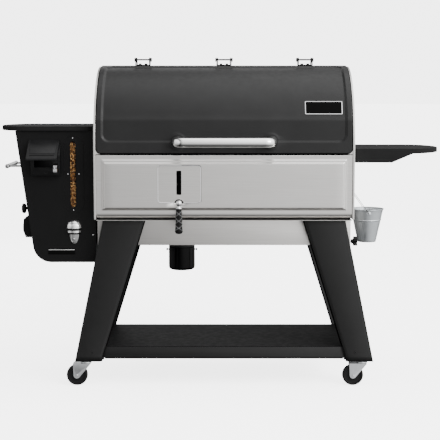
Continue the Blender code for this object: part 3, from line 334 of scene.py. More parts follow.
def mm(*points):
    """Points given in millimetres, as metres."""
    return [tuple(round(value / 1000, 7) for value in point) for point in points]


def mirrored(profile, *middle):
    """A profile, any points at its middle, and its reflection."""
    return [*profile, *middle, *((radius, -height) for radius, height in profile[::-1])]


def skinned(shape, rings, steps):
    """Joins rings of vertices, or single end vertices, with faces."""
    for low, high in zip(rings, rings[1:]):
        for i in range(steps):
            j = i + 1
            corners = (low[i % len(low)], low[j % len(low)], high[j % len(high)], high[i % len(high)])
            corners = list(dict.fromkeys(corners))
            if len(corners) > 2:
                shape.faces.new(corners)


def turned(shape, profile, centre, axis=Z_AXIS, steps=32):
    """Adds a lathed profile of (radius, height) points."""
    across = axis.orthogonal().normalized()
    other = axis.cross(across)
    rings = []
    for radius, height in profile:
        middle = Vector(centre) + axis * height
        turns = [math.tau * i / steps for i in range(steps)] if radius > 1e-6 else [0]
        rings.append([shape.verts.new(middle + (across * math.cos(a) + other * math.sin(a)) * radius)
                      for a in turns])
    skinned(shape, rings, steps)


def bent(points, radius, steps=8):
    """A path whose inner corners are replaced by arcs."""
    path = [Vector(points[0])]
    for before, corner, after in zip(points, points[1:], points[2:]):
        corner = Vector(corner)
        back = (Vector(before) - corner).normalized()
        ahead = (Vector(after) - corner).normalized()
        half = back.angle(ahead) / 2
        reach = radius / math.tan(half)
        centre = corner + (back + ahead).normalized() * (radius / math.sin(half))
        first = (corner + back * reach - centre).normalized()
        last = (corner + ahead * reach - centre).normalized()
        path += [centre + first.slerp(last, i / steps) * radius for i in range(steps + 1)]
    path.append(Vector(points[-1]))
    return path


def rod(shape, points, radius, sides=12, loop=False):
    """Adds a round bar along a path, closed at its ends or running in a loop."""
    points = [Vector(point) for point in points]
    count = len(points)
    rings = []
    normal = None
    for i, point in enumerate(points):
        before = points[(i - 1) % count] if loop or i else point
        after = points[(i + 1) % count] if loop or i < count - 1 else point
        tangent = (after - before).normalized()
        if normal is None:
            normal = tangent.orthogonal()
        normal = (normal - tangent * normal.dot(tangent)).normalized()
        other = tangent.cross(normal)
        turns = [math.tau * k / sides for k in range(sides)]
        rings.append([shape.verts.new(point + (normal * math.cos(a) + other * math.sin(a)) * radius)
                      for a in turns])
    skinned(shape, rings + (rings[:1] if loop else []), sides)
    if not loop:
        shape.faces.new(rings[0][::-1])
        shape.faces.new(rings[-1])


def rounded(shape, faces, width):
    """Rounds the edges of some faces."""
    edges = list(dict.fromkeys(edge for face in faces for edge in face.edges))
    bmesh.ops.bevel(shape, geom=edges, offset=width, segments=2, profile=0.5, affect="EDGES",
                    clamp_overlap=True)


def prism(shape, outline, place, start, end, bevel=0.0):
    """Adds an extruded outline: place(u, v, w) gives the world point."""
    low = [shape.verts.new(place(u, v, start)) for u, v in outline]
    high = [shape.verts.new(place(u, v, end)) for u, v in outline]
    faces = [shape.faces.new(low[::-1]), shape.faces.new(high)]
    for i in range(len(outline)):
        j = (i + 1) % len(outline)
        faces.append(shape.faces.new((low[i], low[j], high[j], high[i])))
    bmesh.ops.recalc_face_normals(shape, faces=faces)
    if bevel:
        rounded(shape, faces[:2], bevel)


def block(shape, low, high, bevel=0.0008):
    """Adds a box with rounded edges."""
    outline = [(low[0], low[1]), (high[0], low[1]), (high[0], high[1]), (low[0], high[1])]
    start = len(shape.faces)
    prism(shape, outline, lambda *place: Vector(place), low[2], high[2])
    shape.faces.ensure_lookup_table()
    rounded(shape, shape.faces[start:], bevel)


def screws(shape, places, axis, radius):
    """Adds pan-head screws, each with a round drive recess."""
    profile = [(radius, -0.0002), (radius, radius * 0.22), (radius * 0.82, radius * 0.46),
               (radius * 0.42, radius * 0.56), (radius * 0.34, radius * 0.2), (0, radius * 0.18)]
    for place in places:
        turned(shape, profile, place, axis, 16)


def bolts(shape, places, axis, radius):
    """Adds domed hexagon-flange bolts."""
    for place in places:
        for profile, steps in (([(1.25, 0), (1.2, 0.2), (1, 0.22)], 20),
                               ([(1, 0.15), (0.97, 0.75), (0.7, 0.95), (0, 1)], 6)):
            turned(shape, [(radius * u, radius * v) for u, v in profile], place, axis, steps)


def circle(x, z, radius, start, end, steps):
    """Points on an arc, by angles in degrees."""
    turns = [math.radians(start + (end - start) * i / steps) for i in range(steps + 1)]
    return [(x + radius * math.cos(a), z + radius * math.sin(a)) for a in turns]


def stadium(x, low, high, radius, steps=8):
    """An upright slot outline with round ends."""
    return circle(x, high - radius, radius, 0, 180, steps) + circle(x, low + radius, radius, 180, 360, steps)


def standing(u, v, w):
    """Places an outline drawn in X and Z at a Y."""
    return Vector((u, w, v))


def upright(u, v, w):
    """Places an outline drawn in X and Z at a depth behind the front."""
    return Vector((u, depth(w), v))


def smooth(value):
    """A soft step from 0 to 1."""
    value = min(max(value, 0.0), 1.0)
    return value * value * (3 - 2 * value)


def inside(u, v, half, low, high, corner):
    """How far a point lies inside a rounded rectangle."""
    x = abs(u) - half + corner
    y = abs(v - (low + high) / 2) - (high - low) / 2 + corner
    return corner - math.hypot(max(x, 0), max(y, 0)) - min(max(x, y), 0)


def spaced(*stops):
    """Coordinates between stops of (position, step), with that step up to the next stop."""
    places = []
    for (start, step), (end, _) in zip(stops, stops[1:]):
        count = max(1, round((end - start) / step))
        places += [start + (end - start) * i / count for i in range(count)]
    return places + [stops[-1][0]]


def sheet(shape, us, vs, point):
    """Adds a grid of faces over two lists of coordinates."""
    rows = [[shape.verts.new(point(u, v)) for u in us] for v in vs]
    for low, high in zip(rows, rows[1:]):
        for i in range(len(us) - 1):
            shape.faces.new((low[i], low[i + 1], high[i + 1], high[i]))
    return rows


def face_towards(shape, direction):
    """Turns every face over if the outermost one points away from a direction."""
    shape.normal_update()
    outermost = max(shape.faces, key=lambda face: face.calc_center_median().dot(direction))
    if outermost.normal.dot(direction) < 0:
        bmesh.ops.reverse_faces(shape, faces=shape.faces[:])


# Lid

LID_SLANT = math.atan2(0.1188, 0.0092)
LID_FLAT = 0.1192
LID_LENGTH = 0.4704
LID_RADIUS = 0.285
LID_CREASE = math.radians(14.4)
LID_EDGE = 0.837
LID_STEP = 0.0005
HANDLE_POST = 0.1655


def lid_section():
    """Depth, height and direction along the lid, from its lower edge to its rear edge."""
    place = Vector((0.006, LID_EDGE))
    points = []
    for i in range(round((LID_LENGTH + 0.002) / LID_STEP)):
        length = i * LID_STEP
        angle = LID_SLANT - LID_CREASE * smooth((length - LID_FLAT) / 0.014 + 0.5)
        angle -= max(0.0, length - LID_FLAT) / LID_RADIUS
        for sign, after in ((-1, 0.01), (1, 0.03)):
            angle += sign * math.radians(7) * math.exp(-((length - LID_FLAT - after) / 0.006) ** 2)
        along = Vector((math.cos(angle), math.sin(angle)))
        points.append((place.copy(), along))
        place += along * LID_STEP
    return points


SECTION = lid_section()


def lid_place(u, length, height=0.0):
    """The world point on the lid at a distance from its middle and along it, raised by a height."""
    where = min(max(length, 0.0), LID_LENGTH) / LID_STEP
    index = int(where)
    place, along = SECTION[index]
    place = place + along * (where - index) * LID_STEP + Vector((-along.y, along.x)) * height
    if length < 0:
        place += along * length
    return Vector((side(u), depth(place.x), place.y))


def lid_height(u, length):
    """Relief of the lid: a wide field pressed in, and a low boss round each end of the handle."""
    sunk = inside(u, length, 0.4341, 0.0391, LID_LENGTH - 0.038, 0.03)
    height = -0.0045 * smooth(sunk / 0.0085)
    away = math.hypot(abs(u) - HANDLE_POST, length - 0.0428)
    return height + 0.0016 * smooth((0.034 - away) / 0.009)


def lid():
    """The lid's sheet with its field, rolled edges painted in shade, and smoked inside."""
    low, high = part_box("lid")
    half, roll, corner = (high.x - low.x) / 2, 0.004, 0.02
    flat_half = half - roll
    us = spaced((-flat_half, 0.0018), (-0.4, 0.016), (-0.192, 0.0032), (-0.126, 0.016), (0.126, 0.0032),
                (0.192, 0.016), (0.4, 0.0018), (flat_half, 0))
    lengths = spaced((roll, 0.0018), (0.076, 0.006), (0.105, 0.002), (0.134, 0.008),
                     (LID_LENGTH - 0.06, 0.0018), (LID_LENGTH - roll, 0))

    def reach(length):
        """Half width of the sheet at a length, less near the rounded lower corners."""
        low = max(0.0, corner - length)
        return flat_half - corner + math.sqrt(max(0.0, corner ** 2 - low ** 2))

    def squeezed(u, length):
        """Moves the outermost columns in at the rounded corners."""
        start = flat_half - 2 * corner
        if abs(u) <= start:
            return u
        share = (abs(u) - start) / (flat_half - start)
        return math.copysign(start + share * (reach(length) - start), u)

    shape = bmesh.new()
    rows = sheet(shape, us, lengths, lambda u, s: lid_place(squeezed(u, s), s, lid_height(u, s)))
    loop = [row[0] for row in rows[::-1]] + rows[0][1:] + [row[-1] for row in rows[1:]]
    places = [(u, s) for u, s in [(squeezed(us[0], s), s) for s in lengths[::-1]]
              + [(squeezed(u, lengths[0]), lengths[0]) for u in us[1:]]
              + [(squeezed(us[-1], s), s) for s in lengths[1:]]]
    outward = []
    for i, (u, s) in enumerate(places):
        before, after = places[max(i - 1, 0)], places[min(i + 1, len(places) - 1)]
        along = Vector((after[0] - before[0], after[1] - before[1])).normalized()
        outward.append(Vector((along.y, -along.x)))
    # Past the first step of the roll, the rolled edge and its return flange take the near-black coat: painted
    # shade along the lid's edge.
    dark = []
    rolled = [(math.sin(a) * roll, (1 - math.cos(a)) * roll) for a in (0.4, 0.8, 1.2, math.pi / 2)]
    for number, (out, down) in enumerate(rolled + [(roll, 0.014)]):
        row = [shape.verts.new(lid_place(u + away.x * out, s + away.y * out, lid_height(u, s) - down))
               for (u, s), away in zip(places, outward)]
        for i in range(len(row) - 1):
            face = shape.faces.new((loop[i], loop[i + 1], row[i + 1], row[i]))
            if number > 0:
                dark.append(face)
        loop = row
    bmesh.ops.recalc_face_normals(shape, faces=shape.faces[:])
    face_towards(shape, Vector((0, 0, 1)))
    for face in dark:
        face.material_index = 1
    made = piece("lid_sheet", shape, (LID_COAT, BLACK_AND_PAINTED_SHADE, SOOT), "lid", True, 50)
    wall = walled(made, 0.0014)
    wall.material_offset = 2
    # The sheet's cut rim takes the near-black coat too: painted shade.
    wall.material_offset_rim = 1
    shape = bmesh.new()
    for sign in (-1, 1):
        arc = circle(half - corner, LID_EDGE + corner, corner + 0.0012, 270, 360, 10)
        outline = [(side(sign * u), v) for u, v in [(half + 0.0006, LID_EDGE - 0.0018)] + arc]
        prism(shape, outline, upright, 0.0085, 0.01)
    piece("corner_gussets", shape, STEEL, "cart")


def badge():
    """A blank badge plate with a bright frame, curved to the lid."""
    half_wide, low, high = 0.0657, 0.1415, 0.1925
    centre = 0.351

    def patch(name, look, inset, height, corner):
        """Makes a small rounded slab that follows the lid."""
        shape = bmesh.new()
        half, start, end = half_wide - inset, low + inset, high - inset
        outline = []
        for x, y, turn in ((half - corner, end - corner, 0), (-half + corner, end - corner, 90),
                           (-half + corner, start + corner, 180), (half - corner, start + corner, 270)):
            outline += circle(x, y, corner, turn, turn + 90, 4)
        shrunk = [(u * 0.992, start + (s - start) * 0.985 + 0.0004) for u, s in outline]
        base, top, inner = ([shape.verts.new(lid_place(centre + u, s, level)) for u, s in points]
                            for points, level in ((outline, -0.0034), (outline, height - 0.0032),
                                                  (shrunk, height - 0.0028)))
        for i in range(len(outline)):
            j = (i + 1) % len(outline)
            shape.faces.new((base[i], base[j], top[j], top[i]))
            shape.faces.new((top[i], top[j], inner[j], inner[i]))
        shape.faces.new(inner)
        solid(name, shape, look, "lid")

    patch("badge_frame", CHROME, 0, 0.0016, 0.003)
    patch("badge_plate", BADGE, 0.0022, 0.0022, 0.002)


def handle():
    """The thick brushed tube across the lid, with a flange at each foot."""
    z, radius, bow, foot = 0.8796, 0.017, -0.055, 0.0078
    path = [(side(HANDLE_POST * sign), depth(away), z)
            for sign, away in ((-1, foot), (-1, bow), (1, bow), (1, foot))]
    shape = bmesh.new()
    rod(shape, bent(path, 0.0225, 12), radius, 28)
    piece("handle_tube", shape, STEEL_BAR, "lid_handle", True)
    shape = bmesh.new()
    for sign in (-1, 1):
        centre = (side(sign * HANDLE_POST), depth(0.0088), z)
        turned(shape, mm((22.5, -1), (22.5, 2), (21.5, 3.6), (19, 4.2), (17.4, 6), (16.8, 6)), centre,
               -Y_AXIS)
    piece("handle_flanges", shape, BLACK, "lid_handle")


def hinges():
    """Rounded straps and brackets, with their rods, knob ends and bolts."""
    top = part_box("hinge_middle_strap")[0].z + 0.0025
    for label, step in (("left", -1), ("middle", 0), ("right", 1)):
        x = side(0.3 * step)
        for part in ("bracket", "strap"):
            refined(f"hinge_{label}_{part}", BLACK, 0.0006)
        for part, sign in (("strap", -1), ("bracket", 1)):
            shape = bmesh.new()
            places = [(x + shift, depth(LID_RADIUS + sign * 0.019), top) for shift in (-0.011, 0.011)]
            bolts(shape, places, Z_AXIS, 0.0046)
            node = f"hinge_{label}_{part}"
            piece(node + "_bolts", shape, BLACK, node)
        shape = bmesh.new()
        for sign in (-1, 1):
            centre = (x + sign * 0.03, depth(LID_RADIUS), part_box("hinge_middle_bracket")[1].z - 0.0078)
            turned(shape, mm((3.4, -1.8), (6.2, -1.6), (7.4, -0.4), (7.4, 1.2), (6, 2.4), (0, 2.8)), centre,
                   X_AXIS * sign, 20)
        piece(f"hinge_{label}_knobs", shape, BLACK, f"hinge_{label}_bracket")


# Front panel and belly

LEVER_X = mid("lever", 0) - 0.0001
PLATE_WALL = 0.0012


def front_panel():
    """The pressed panel: a raised field with soft mitred slopes, and a rolled lower edge."""
    low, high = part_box("front_panel")
    half, top, bottom, curl = (high.x - low.x) / 2, high.z, low.z, 0.02
    hole_low, hole_high, hole_half = 0.6635, 0.785, 0.0165
    hole_middle, raised = LEVER_X - MIDDLE, 0.008
    start = bottom + curl

    def height(u, z):
        """Relief of the panel in metres."""
        share = min((0.432 - abs(u)) / 0.013, (0.819 - z) / 0.0175)
        stepped = 0.0038 * smooth(share / 0.4) + 0.0042 * smooth((share - 0.55) / 0.45)
        return min(stepped, raised * smooth((z - 0.637) / 0.011))

    def point(u, z):
        """World point of the panel's face; under its roll the height stands for an angle."""
        if z >= start:
            return Vector((side(u), depth(raised - height(u, z)), z))
        angle = (start - z) / curl * math.radians(84)
        pull = max(0.0, abs(u) - half + 0.006) * (1 - math.cos(angle)) * 0.8
        return Vector((side(math.copysign(abs(u) - pull, u)), depth(raised + curl * (1 - math.cos(angle))),
                       start - curl * math.sin(angle)))

    us = spaced((-half, 0.0025), (-half + 0.003, 0.006), (-0.4325, 0.001), (-0.4185, 0.03),
                (hole_middle - hole_half, 0.0165), (hole_middle + hole_half, 0.03), (0.4185, 0.001),
                (0.4325, 0.006), (half - 0.003, 0.0025), (half, 0))
    zs = spaced((bottom, 0.0018), (start, 0.005), (0.6365, 0.001), (0.6485, 0.015), (hole_low, 0.03),
                (hole_high, 0.016), (0.801, 0.001), (0.8195, 0.004), (top - 0.002, 0.002), (top, 0))
    shape = bmesh.new()
    sheet(shape, us, zs, point)
    gap = [face for face in shape.faces
           if abs(face.calc_center_median().x - LEVER_X) < hole_half
           and hole_low < face.calc_center_median().z < hole_high]
    bmesh.ops.delete(shape, geom=gap, context="FACES")
    face_towards(shape, -Y_AXIS)
    walled(piece("front_panel_pressed", shape, STEEL, "front_panel", True, 50), PLATE_WALL)


def belly():
    """The belly tub and the lever's cover plate, with softened folds, and a painted shadow line along the
    plate's right and top edges.
    """
    refined("belly_tub", STEEL_LOW, 0.0012)
    low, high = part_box("lever_plate")
    left, right = LEVER_X - 0.017, LEVER_X + 0.017
    arch = [(left, low.z), (left, 0.668)] + circle(LEVER_X, 0.661, 0.017, 150, 30, 8)
    arch += [(right, 0.668), (right, low.z)]
    corners = rounded_outline(low.x, low.z, high.x, high.z, 0.01, 5)
    shape = bmesh.new()
    edges = []
    for outline in (corners[:18] + arch + corners[18:],
                    rounded_outline(LEVER_X - 0.0088, 0.6934, LEVER_X + 0.0088, 0.7785, 0.003, 4)):
        loop = [shape.verts.new((x, low.y, z)) for x, z in outline]
        edges += [shape.edges.new((loop[i], loop[(i + 1) % len(loop)])) for i in range(len(loop))]
    bmesh.ops.triangle_fill(shape, use_beauty=True, edges=edges)
    behind = bmesh.ops.extrude_face_region(shape, geom=shape.faces[:])["geom"]
    moved = [element for element in behind if isinstance(element, bmesh.types.BMVert)]
    bmesh.ops.translate(shape, vec=Y_AXIS * PLATE_WALL, verts=moved)
    solid("lever_plate_sheet", shape, STEEL, "lever_plate", True)
    shape = bmesh.new()
    outline = [(right, low.z)] + corners[18:] + corners[:18] + [(left, low.z)]
    rod(shape, [(x, low.y + 0.0003, z) for x, z in outline], 0.0013, 8)
    piece("lever_plate_bead", shape, CHROME, "lever_plate")
    # A near-black rod along the plate's right edge and the right half of its top: painted shadow of the gap.
    shape = bmesh.new()
    x, y, z = high.x + 0.0014, low.y + 0.001, high.z + 0.0014
    rod(shape, bent([(x, y, low.z + 0.004), (x, y, z), (LEVER_X + 0.01, y, z)], 0.01, 6), 0.0012, 6)
    piece("lever_plate_painted_shadow", shape, BLACK_AND_PAINTED_SHADE, "lever_plate")


def lever():
    """The damper lever: polished collar, a pointer in the slot painted near-black as its shade, and the
    moulded rubber grip.
    """
    y = depth(-0.018)
    shape = bmesh.new()
    profile = mm((0, 675.7), (3, 675.2), (6.2, 673.5), (8.8, 670.8), (10.1, 667.5), (10.3, 664.5),
                 (9.7, 661.5), (8.2, 658.8), (6.6, 656.6), (6.1, 654.5), (6.1, 651.5), (6.8, 650),
                 (9.8, 648.5), (10.6, 647.5), (10.6, 646.3), (9, 645.6), (0, 645.6))
    turned(shape, profile, (LEVER_X, y, 0), Z_AXIS, 36)
    solid("lever_collar", shape, CHROME, "lever", True)
    shape = bmesh.new()
    block(shape, (LEVER_X - 0.0045, y, 0.664), (LEVER_X + 0.0045, depth(0.022), 0.671))
    block(shape, (LEVER_X - 0.004, depth(0.016), 0.6645), (LEVER_X + 0.004, depth(0.0215), 0.775))
    # The pointer and its arm take the near-black coat: painted shade inside the slot.
    piece("lever_pointer", shape, BLACK_AND_PAINTED_SHADE, "lever")
    grip = mm((0, 645.7), (8.5, 645.7), (9.6, 644.5), (9.8, 641), (9.2, 639), (9.2, 637.5), (10, 636),
              (10.5, 615), (11.2, 600), (12, 585), (13, 572), (13.1, 566), (12.2, 561.5), (9.8, 558.3),
              (5.5, 557), (0, 556.8))
    shape = bmesh.new()
    turned(shape, grip, (LEVER_X, y, 0), Z_AXIS, 32)

    def radius(z):
        """The grip's radius at a height."""
        for (r0, z0), (r1, z1) in zip(grip[6:], grip[7:]):
            if z1 <= z <= z0:
                return r0 + (r1 - r0) * (z0 - z) / (z0 - z1)
        return grip[6][0]

    smooth_faces, turns = len(shape.faces), 56
    for hand in (-1, 1):
        for phase in (0, math.pi):
            path = []
            for i in range(turns + 1):
                z = 0.6355 - 0.071 * i / turns
                angle = hand * math.tau * (z - 0.628) / 0.05 + phase
                reach = radius(z)
                path.append((LEVER_X + reach * math.sin(angle), y - reach * math.cos(angle), z))
            rod(shape, path, 0.0013, 6)
    for face in list(shape.faces)[smooth_faces:]:
        face.material_index = 1
    solid("lever_grip_moulded", shape, (RUBBER, RIB), "lever_grip", True)


# Cart

def leg(node, hand, near, facing):
    """A folded-sheet leg: face, softened inner fold, side walls and foot plate, with the inner wall and its
    flange painted in shade.
    """
    low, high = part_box(node)
    top, foot, kink = high.z, low.z, 0.1089
    levels = [top, top - 0.0025, 0.45, 0.3, kink, foot - 0.006]
    wall, head, base = 0.036, 0.6005, 0.095

    def edges(z):
        """Half positions of the outer and inner edge at a height."""
        outer = 0.4307 + (0.5355 - 0.4307) * (head - z) / (head - base)
        if z > kink:
            return outer, 0.2841 + (0.4373 - 0.2841) * (head - z) / (head - kink)
        return outer, 0.4373 + (0.4386 - 0.4373) * (kink - z) / (kink - base)

    def row(z):
        """Points round the channel from one free edge to the other, as (half, distance from the face)."""
        outer, inner = edges(z)
        return [(outer, wall), (outer, 0.003), (outer - 0.0009, 0.0009), (outer - 0.003, 0),
                (inner + 0.0102, 0), (inner + 0.0086, 0.0004), (inner + 0.0016, 0.0042),
                (inner + 0.0004, 0.0056), (inner, 0.0075), (inner, wall - 0.004), (inner - 0.0045, wall)]

    shape = bmesh.new()
    face_depth = near if facing < 0 else near + wall

    def level(points, z):
        """Vertices at a height, from points of (half, distance from the face)."""
        return [shape.verts.new((side(hand * half), depth(face_depth - facing * away), z))
                for half, away in points]

    rows = [level(row(z), z) for z in levels]
    for above, below in zip(rows, rows[1:]):
        for i in range(len(above) - 1):
            # Faces past the inner fold, the inner wall and its flange, take the near-black coat as painted
            # shade.
            shape.faces.new((above[i], above[i + 1], below[i + 1], below[i])).material_index = int(i > 7)
    shape.faces.new(rows[0])
    plate_z = foot + 0.0016
    outer, inner = edges(plate_z)
    shape.faces.new(level([(outer - 0.0016, wall - 0.0002), (outer - 0.0016, 0.0016),
                           (inner + 0.0096, 0.0016), (inner + 0.0022, 0.0064),
                           (inner + 0.0016, wall - 0.0002)], plate_z))
    face_towards(shape, Y_AXIS * facing)
    bmesh.ops.recalc_face_normals(shape, faces=shape.faces[:])
    face_towards(shape, Y_AXIS * facing)
    walled(piece(node + "_folded", shape, (LEG, BLACK_AND_PAINTED_SHADE), node, True, 25), PLATE_WALL)


def cart():
    """Legs, lower shelf, casters and the fasteners that hold them."""
    for row, near, facing in (("front", 0.018, -1), ("rear", 0.438, 1)):
        for label, hand in (("left", -1), ("right", 1)):
            leg(f"leg_{row}_{label}", hand, near, facing)
    refined("bottom_shelf", SHELF, 0.0016, 3)
    shape = bmesh.new()
    for sign in (-1, 1):
        near, far = sorted((side(sign * 0.4245), side(sign * 0.442)))
        block(shape, (near, depth(0.056), 0.1395), (far, depth(0.434), 0.1424), 0.001)
    half_outline = mm((426.2, 140.8), (436.4, 108), (436.4, 105), (427, 97.5))
    outline = [(side(-u), v) for u, v in half_outline] + [(side(u), v) for u, v in half_outline[::-1]]
    prism(shape, outline, upright, 0.0286, 0.0302, 0.0006)
    for face in shape.faces:
        face.material_index = int(face.calc_center_median().y < depth(0.031))
    piece("shelf_side_lips", shape, (SHELF, LEG), "bottom_shelf")
    shape = bmesh.new()
    for hand in (-1, 1):
        for face, near in ((-1, 0.018), (1, 0.474)):
            bolts(shape, [(side(hand * 0.472), depth(near), 0.124)], Y_AXIS * face, 0.003)
    piece("foot_bolts", shape, BLACK, "cart")
    shape = bmesh.new()
    for hand in (-1, 1):
        for near in (0.036, 0.456):
            bolts(shape, [(side(hand * 0.2985), depth(near), 0.556)], X_AXIS * -hand, 0.0052)
    piece("leg_bolts", shape, BLACK, "cart")
    for corner in ("front_left", "front_right", "rear_left", "rear_right"):
        caster("caster_" + corner)


def caster(name):
    """A swivel caster: pressed fork, ball race, axle bolt and a wheel with hub and rounded tread."""
    fork, wheel = name + "_fork", name + "_wheel"
    refined(fork, CASTER, 0.0007)
    low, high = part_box(wheel)
    centre = (low + high) / 2
    radius, half = (high.z - low.z) / 2, (high.y - low.y) / 2
    shape = bmesh.new()
    tread = [(0.03, half - 0.0005), (0.031, half), (0.0338, half - 0.0001), (0.036, half - 0.0012),
             (0.0374, half - 0.0034), (radius, half - 0.0065)]
    turned(shape, mirrored(tread, (radius, 0)), centre, Y_AXIS, 40)
    solid(wheel + "_tread", shape, TREAD, wheel, True)
    shape = bmesh.new()
    hub = [(0.0302, half - 0.0006), (0.029, half - 0.003), (0.016, half - 0.0046), (0.0115, half - 0.003),
           (0.0108, half - 0.0002), (0.0062, half), (0.0045, half - 0.0006)]
    turned(shape, mirrored(hub), centre, Y_AXIS, 36)
    solid(wheel + "_hub", shape, PLASTIC, wheel)
    shape = bmesh.new()
    pivot_x = centre.x + 0.033
    turned(shape, mm((16.8, 0), (18.8, 0.8), (19.4, 3), (18.8, 5.2), (17.2, 6.2), (16.2, 6.8), (15.8, 8.4),
                     (15.8, 11.8), (15, 12.6)),
           (pivot_x, centre.y, 0.0815), Z_AXIS, 32)
    for face in (-1, 1):
        bolts(shape, [centre + Y_AXIS * face * 0.017], Y_AXIS * face, 0.0036)
    solid(name + "_race", shape, CASTER, fork)


# Hopper

WINDOW_X = mid("pellet_window", 0)


PELLET_LENGTH, PELLET_RADIUS = 0.008, 0.0022


def pellet_heap(shape, places, rolls):
    """Adds pressed-wood pellets: short rough cylinders at places, turned at random."""
    for place in places:
        axis = Vector((rolls.gauss(0, 1), rolls.gauss(0, 0.35), rolls.gauss(0, 1))).normalized()
        half = PELLET_LENGTH * rolls.uniform(0.65, 1.25) / 2
        wide = PELLET_RADIUS * rolls.uniform(0.92, 1.05)
        profile = mirrored([(0, -half), (wide * 0.85, -half), (wide, -half + 0.0005)])
        start = len(shape.faces)
        turned(shape, profile, place, axis, 9)
        shape.faces.ensure_lookup_table()
        tone = rolls.choice((0, 0, 1, 2, 2))
        for face in shape.faces[start:]:
            face.material_index = tone


def pellets():
    """Wood pellets behind the window and heaped inside the hopper, on a bed painted darker than any pellet as
    the shade between them.
    """
    rolls = random.Random(7)
    window_low, window_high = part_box("pellet_window")
    shape = bmesh.new()
    places = []
    z = window_low.z + 0.004
    while z < 0.876:
        for shift in (-0.01, -0.005, 0.0, 0.005, 0.01):
            x = WINDOW_X + shift + rolls.uniform(-0.0025, 0.0025)
            y = window_high.y + 0.0052 + rolls.uniform(0, 0.005)
            places.append(Vector((x, y, z + rolls.uniform(-0.003, 0.003))))
        z += 0.0042
    pellet_heap(shape, places, rolls)
    solid("window_pellets", shape, WOODS, "hopper_body")
    low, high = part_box("hopper_body")
    near, far = window_high.y + 0.014, high.y - 0.008

    def level(x, y):
        """Height of the heap, in low waves that fall away from its middle."""
        waves = 0.016 * math.sin((x - low.x) * 14) * math.cos((y - near) * 9)
        return 0.858 + waves - 0.02 * abs(y - (near + far) / 2)

    shape = bmesh.new()
    left, right = -0.715, high.x - 0.006
    sheet(shape, spaced((left, 0.012), (right, 0)), spaced((near - 0.012, 0.012), (far, 0)),
          lambda x, y: Vector((x, y, level(x, y) - 0.003)))
    face_towards(shape, Z_AXIS)
    # The bed under the pellets is painted dark as the shade between them.
    piece("pellet_bed", shape, PELLET_BED_PAINTED_SHADE, "hopper_body")
    shape = bmesh.new()
    places = []
    for _ in range(900):
        x, y = rolls.uniform(left + 0.008, right - 0.008), rolls.uniform(near, far - 0.008)
        places.append(Vector((x, y, level(x, y) + rolls.uniform(-0.001, 0.003))))
    pellet_heap(shape, places, rolls)
    solid("pellet_pile", shape, WOODS, "hopper_body")


def hopper():
    """The hopper's casing with its pressed window frame, screws, vent trim and lid."""
    refined("hopper_body", HOPPER, 0.0016, 3)
    refined("hopper_lid", HOPPER_LID, 0.0022, 3)
    refined("hopper_bin", ZINC, 0.0008)
    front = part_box("hopper_body")[0].y
    refined("pellet_window", CLEAR, 0.0003)
    shape = bmesh.new()
    for outline, away, thick in ((stadium(WINDOW_X + 0.004, 0.6205, 0.8985, 0.0345, 14), 0.0004, 0.0014),
                                 (stadium(WINDOW_X, 0.6372, 0.8798, 0.0115, 12), 0.0002, 0.0009)):
        rod(shape, [(x, front + away, z) for x, z in outline], thick, 8, loop=True)
    piece("hopper_beads", shape, HOPPER, "hopper_body")
    shape = bmesh.new()
    screws(shape, [(WINDOW_X, front, 0.8895), (WINDOW_X, front, 0.631), (WINDOW_X - 0.0187, front, 0.7606),
                   (WINDOW_X + 0.0207, front, 0.7606), (-0.4582, front, 0.5412)], -Y_AXIS, 0.0023)
    piece("hopper_screws", shape, CHROME, "hopper_body")
    shape = bmesh.new()
    block(shape, (-0.62, front - 0.0016, 0.47), (-0.523, front + 0.0002, 0.4912), 0.0008)
    piece("trim_plate", shape, BLACK_AND_PAINTED_SHADE, "hopper_body")
    shape = bmesh.new()
    rod(shape, [(-0.618, front - 0.002, 0.4868), (-0.5245, front - 0.002, 0.4868)], 0.0021, 10)
    piece("trim_strip", shape, STEEL_BAR, "hopper_body")
    shape = bmesh.new()
    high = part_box("hopper_lid")[1]
    y, z = high.y, high.z
    for x in (-0.68, -0.54):
        rod(shape, [(x - 0.018, y - 0.0045, z - 0.02), (x + 0.018, y - 0.0045, z - 0.02)], 0.0028)
        block(shape, (x - 0.016, y - 0.017, z - 0.044), (x + 0.016, y - 0.0152, z - 0.0215), 0.0004)
    solid("hopper_hinges", shape, BLACK, "hopper_body")


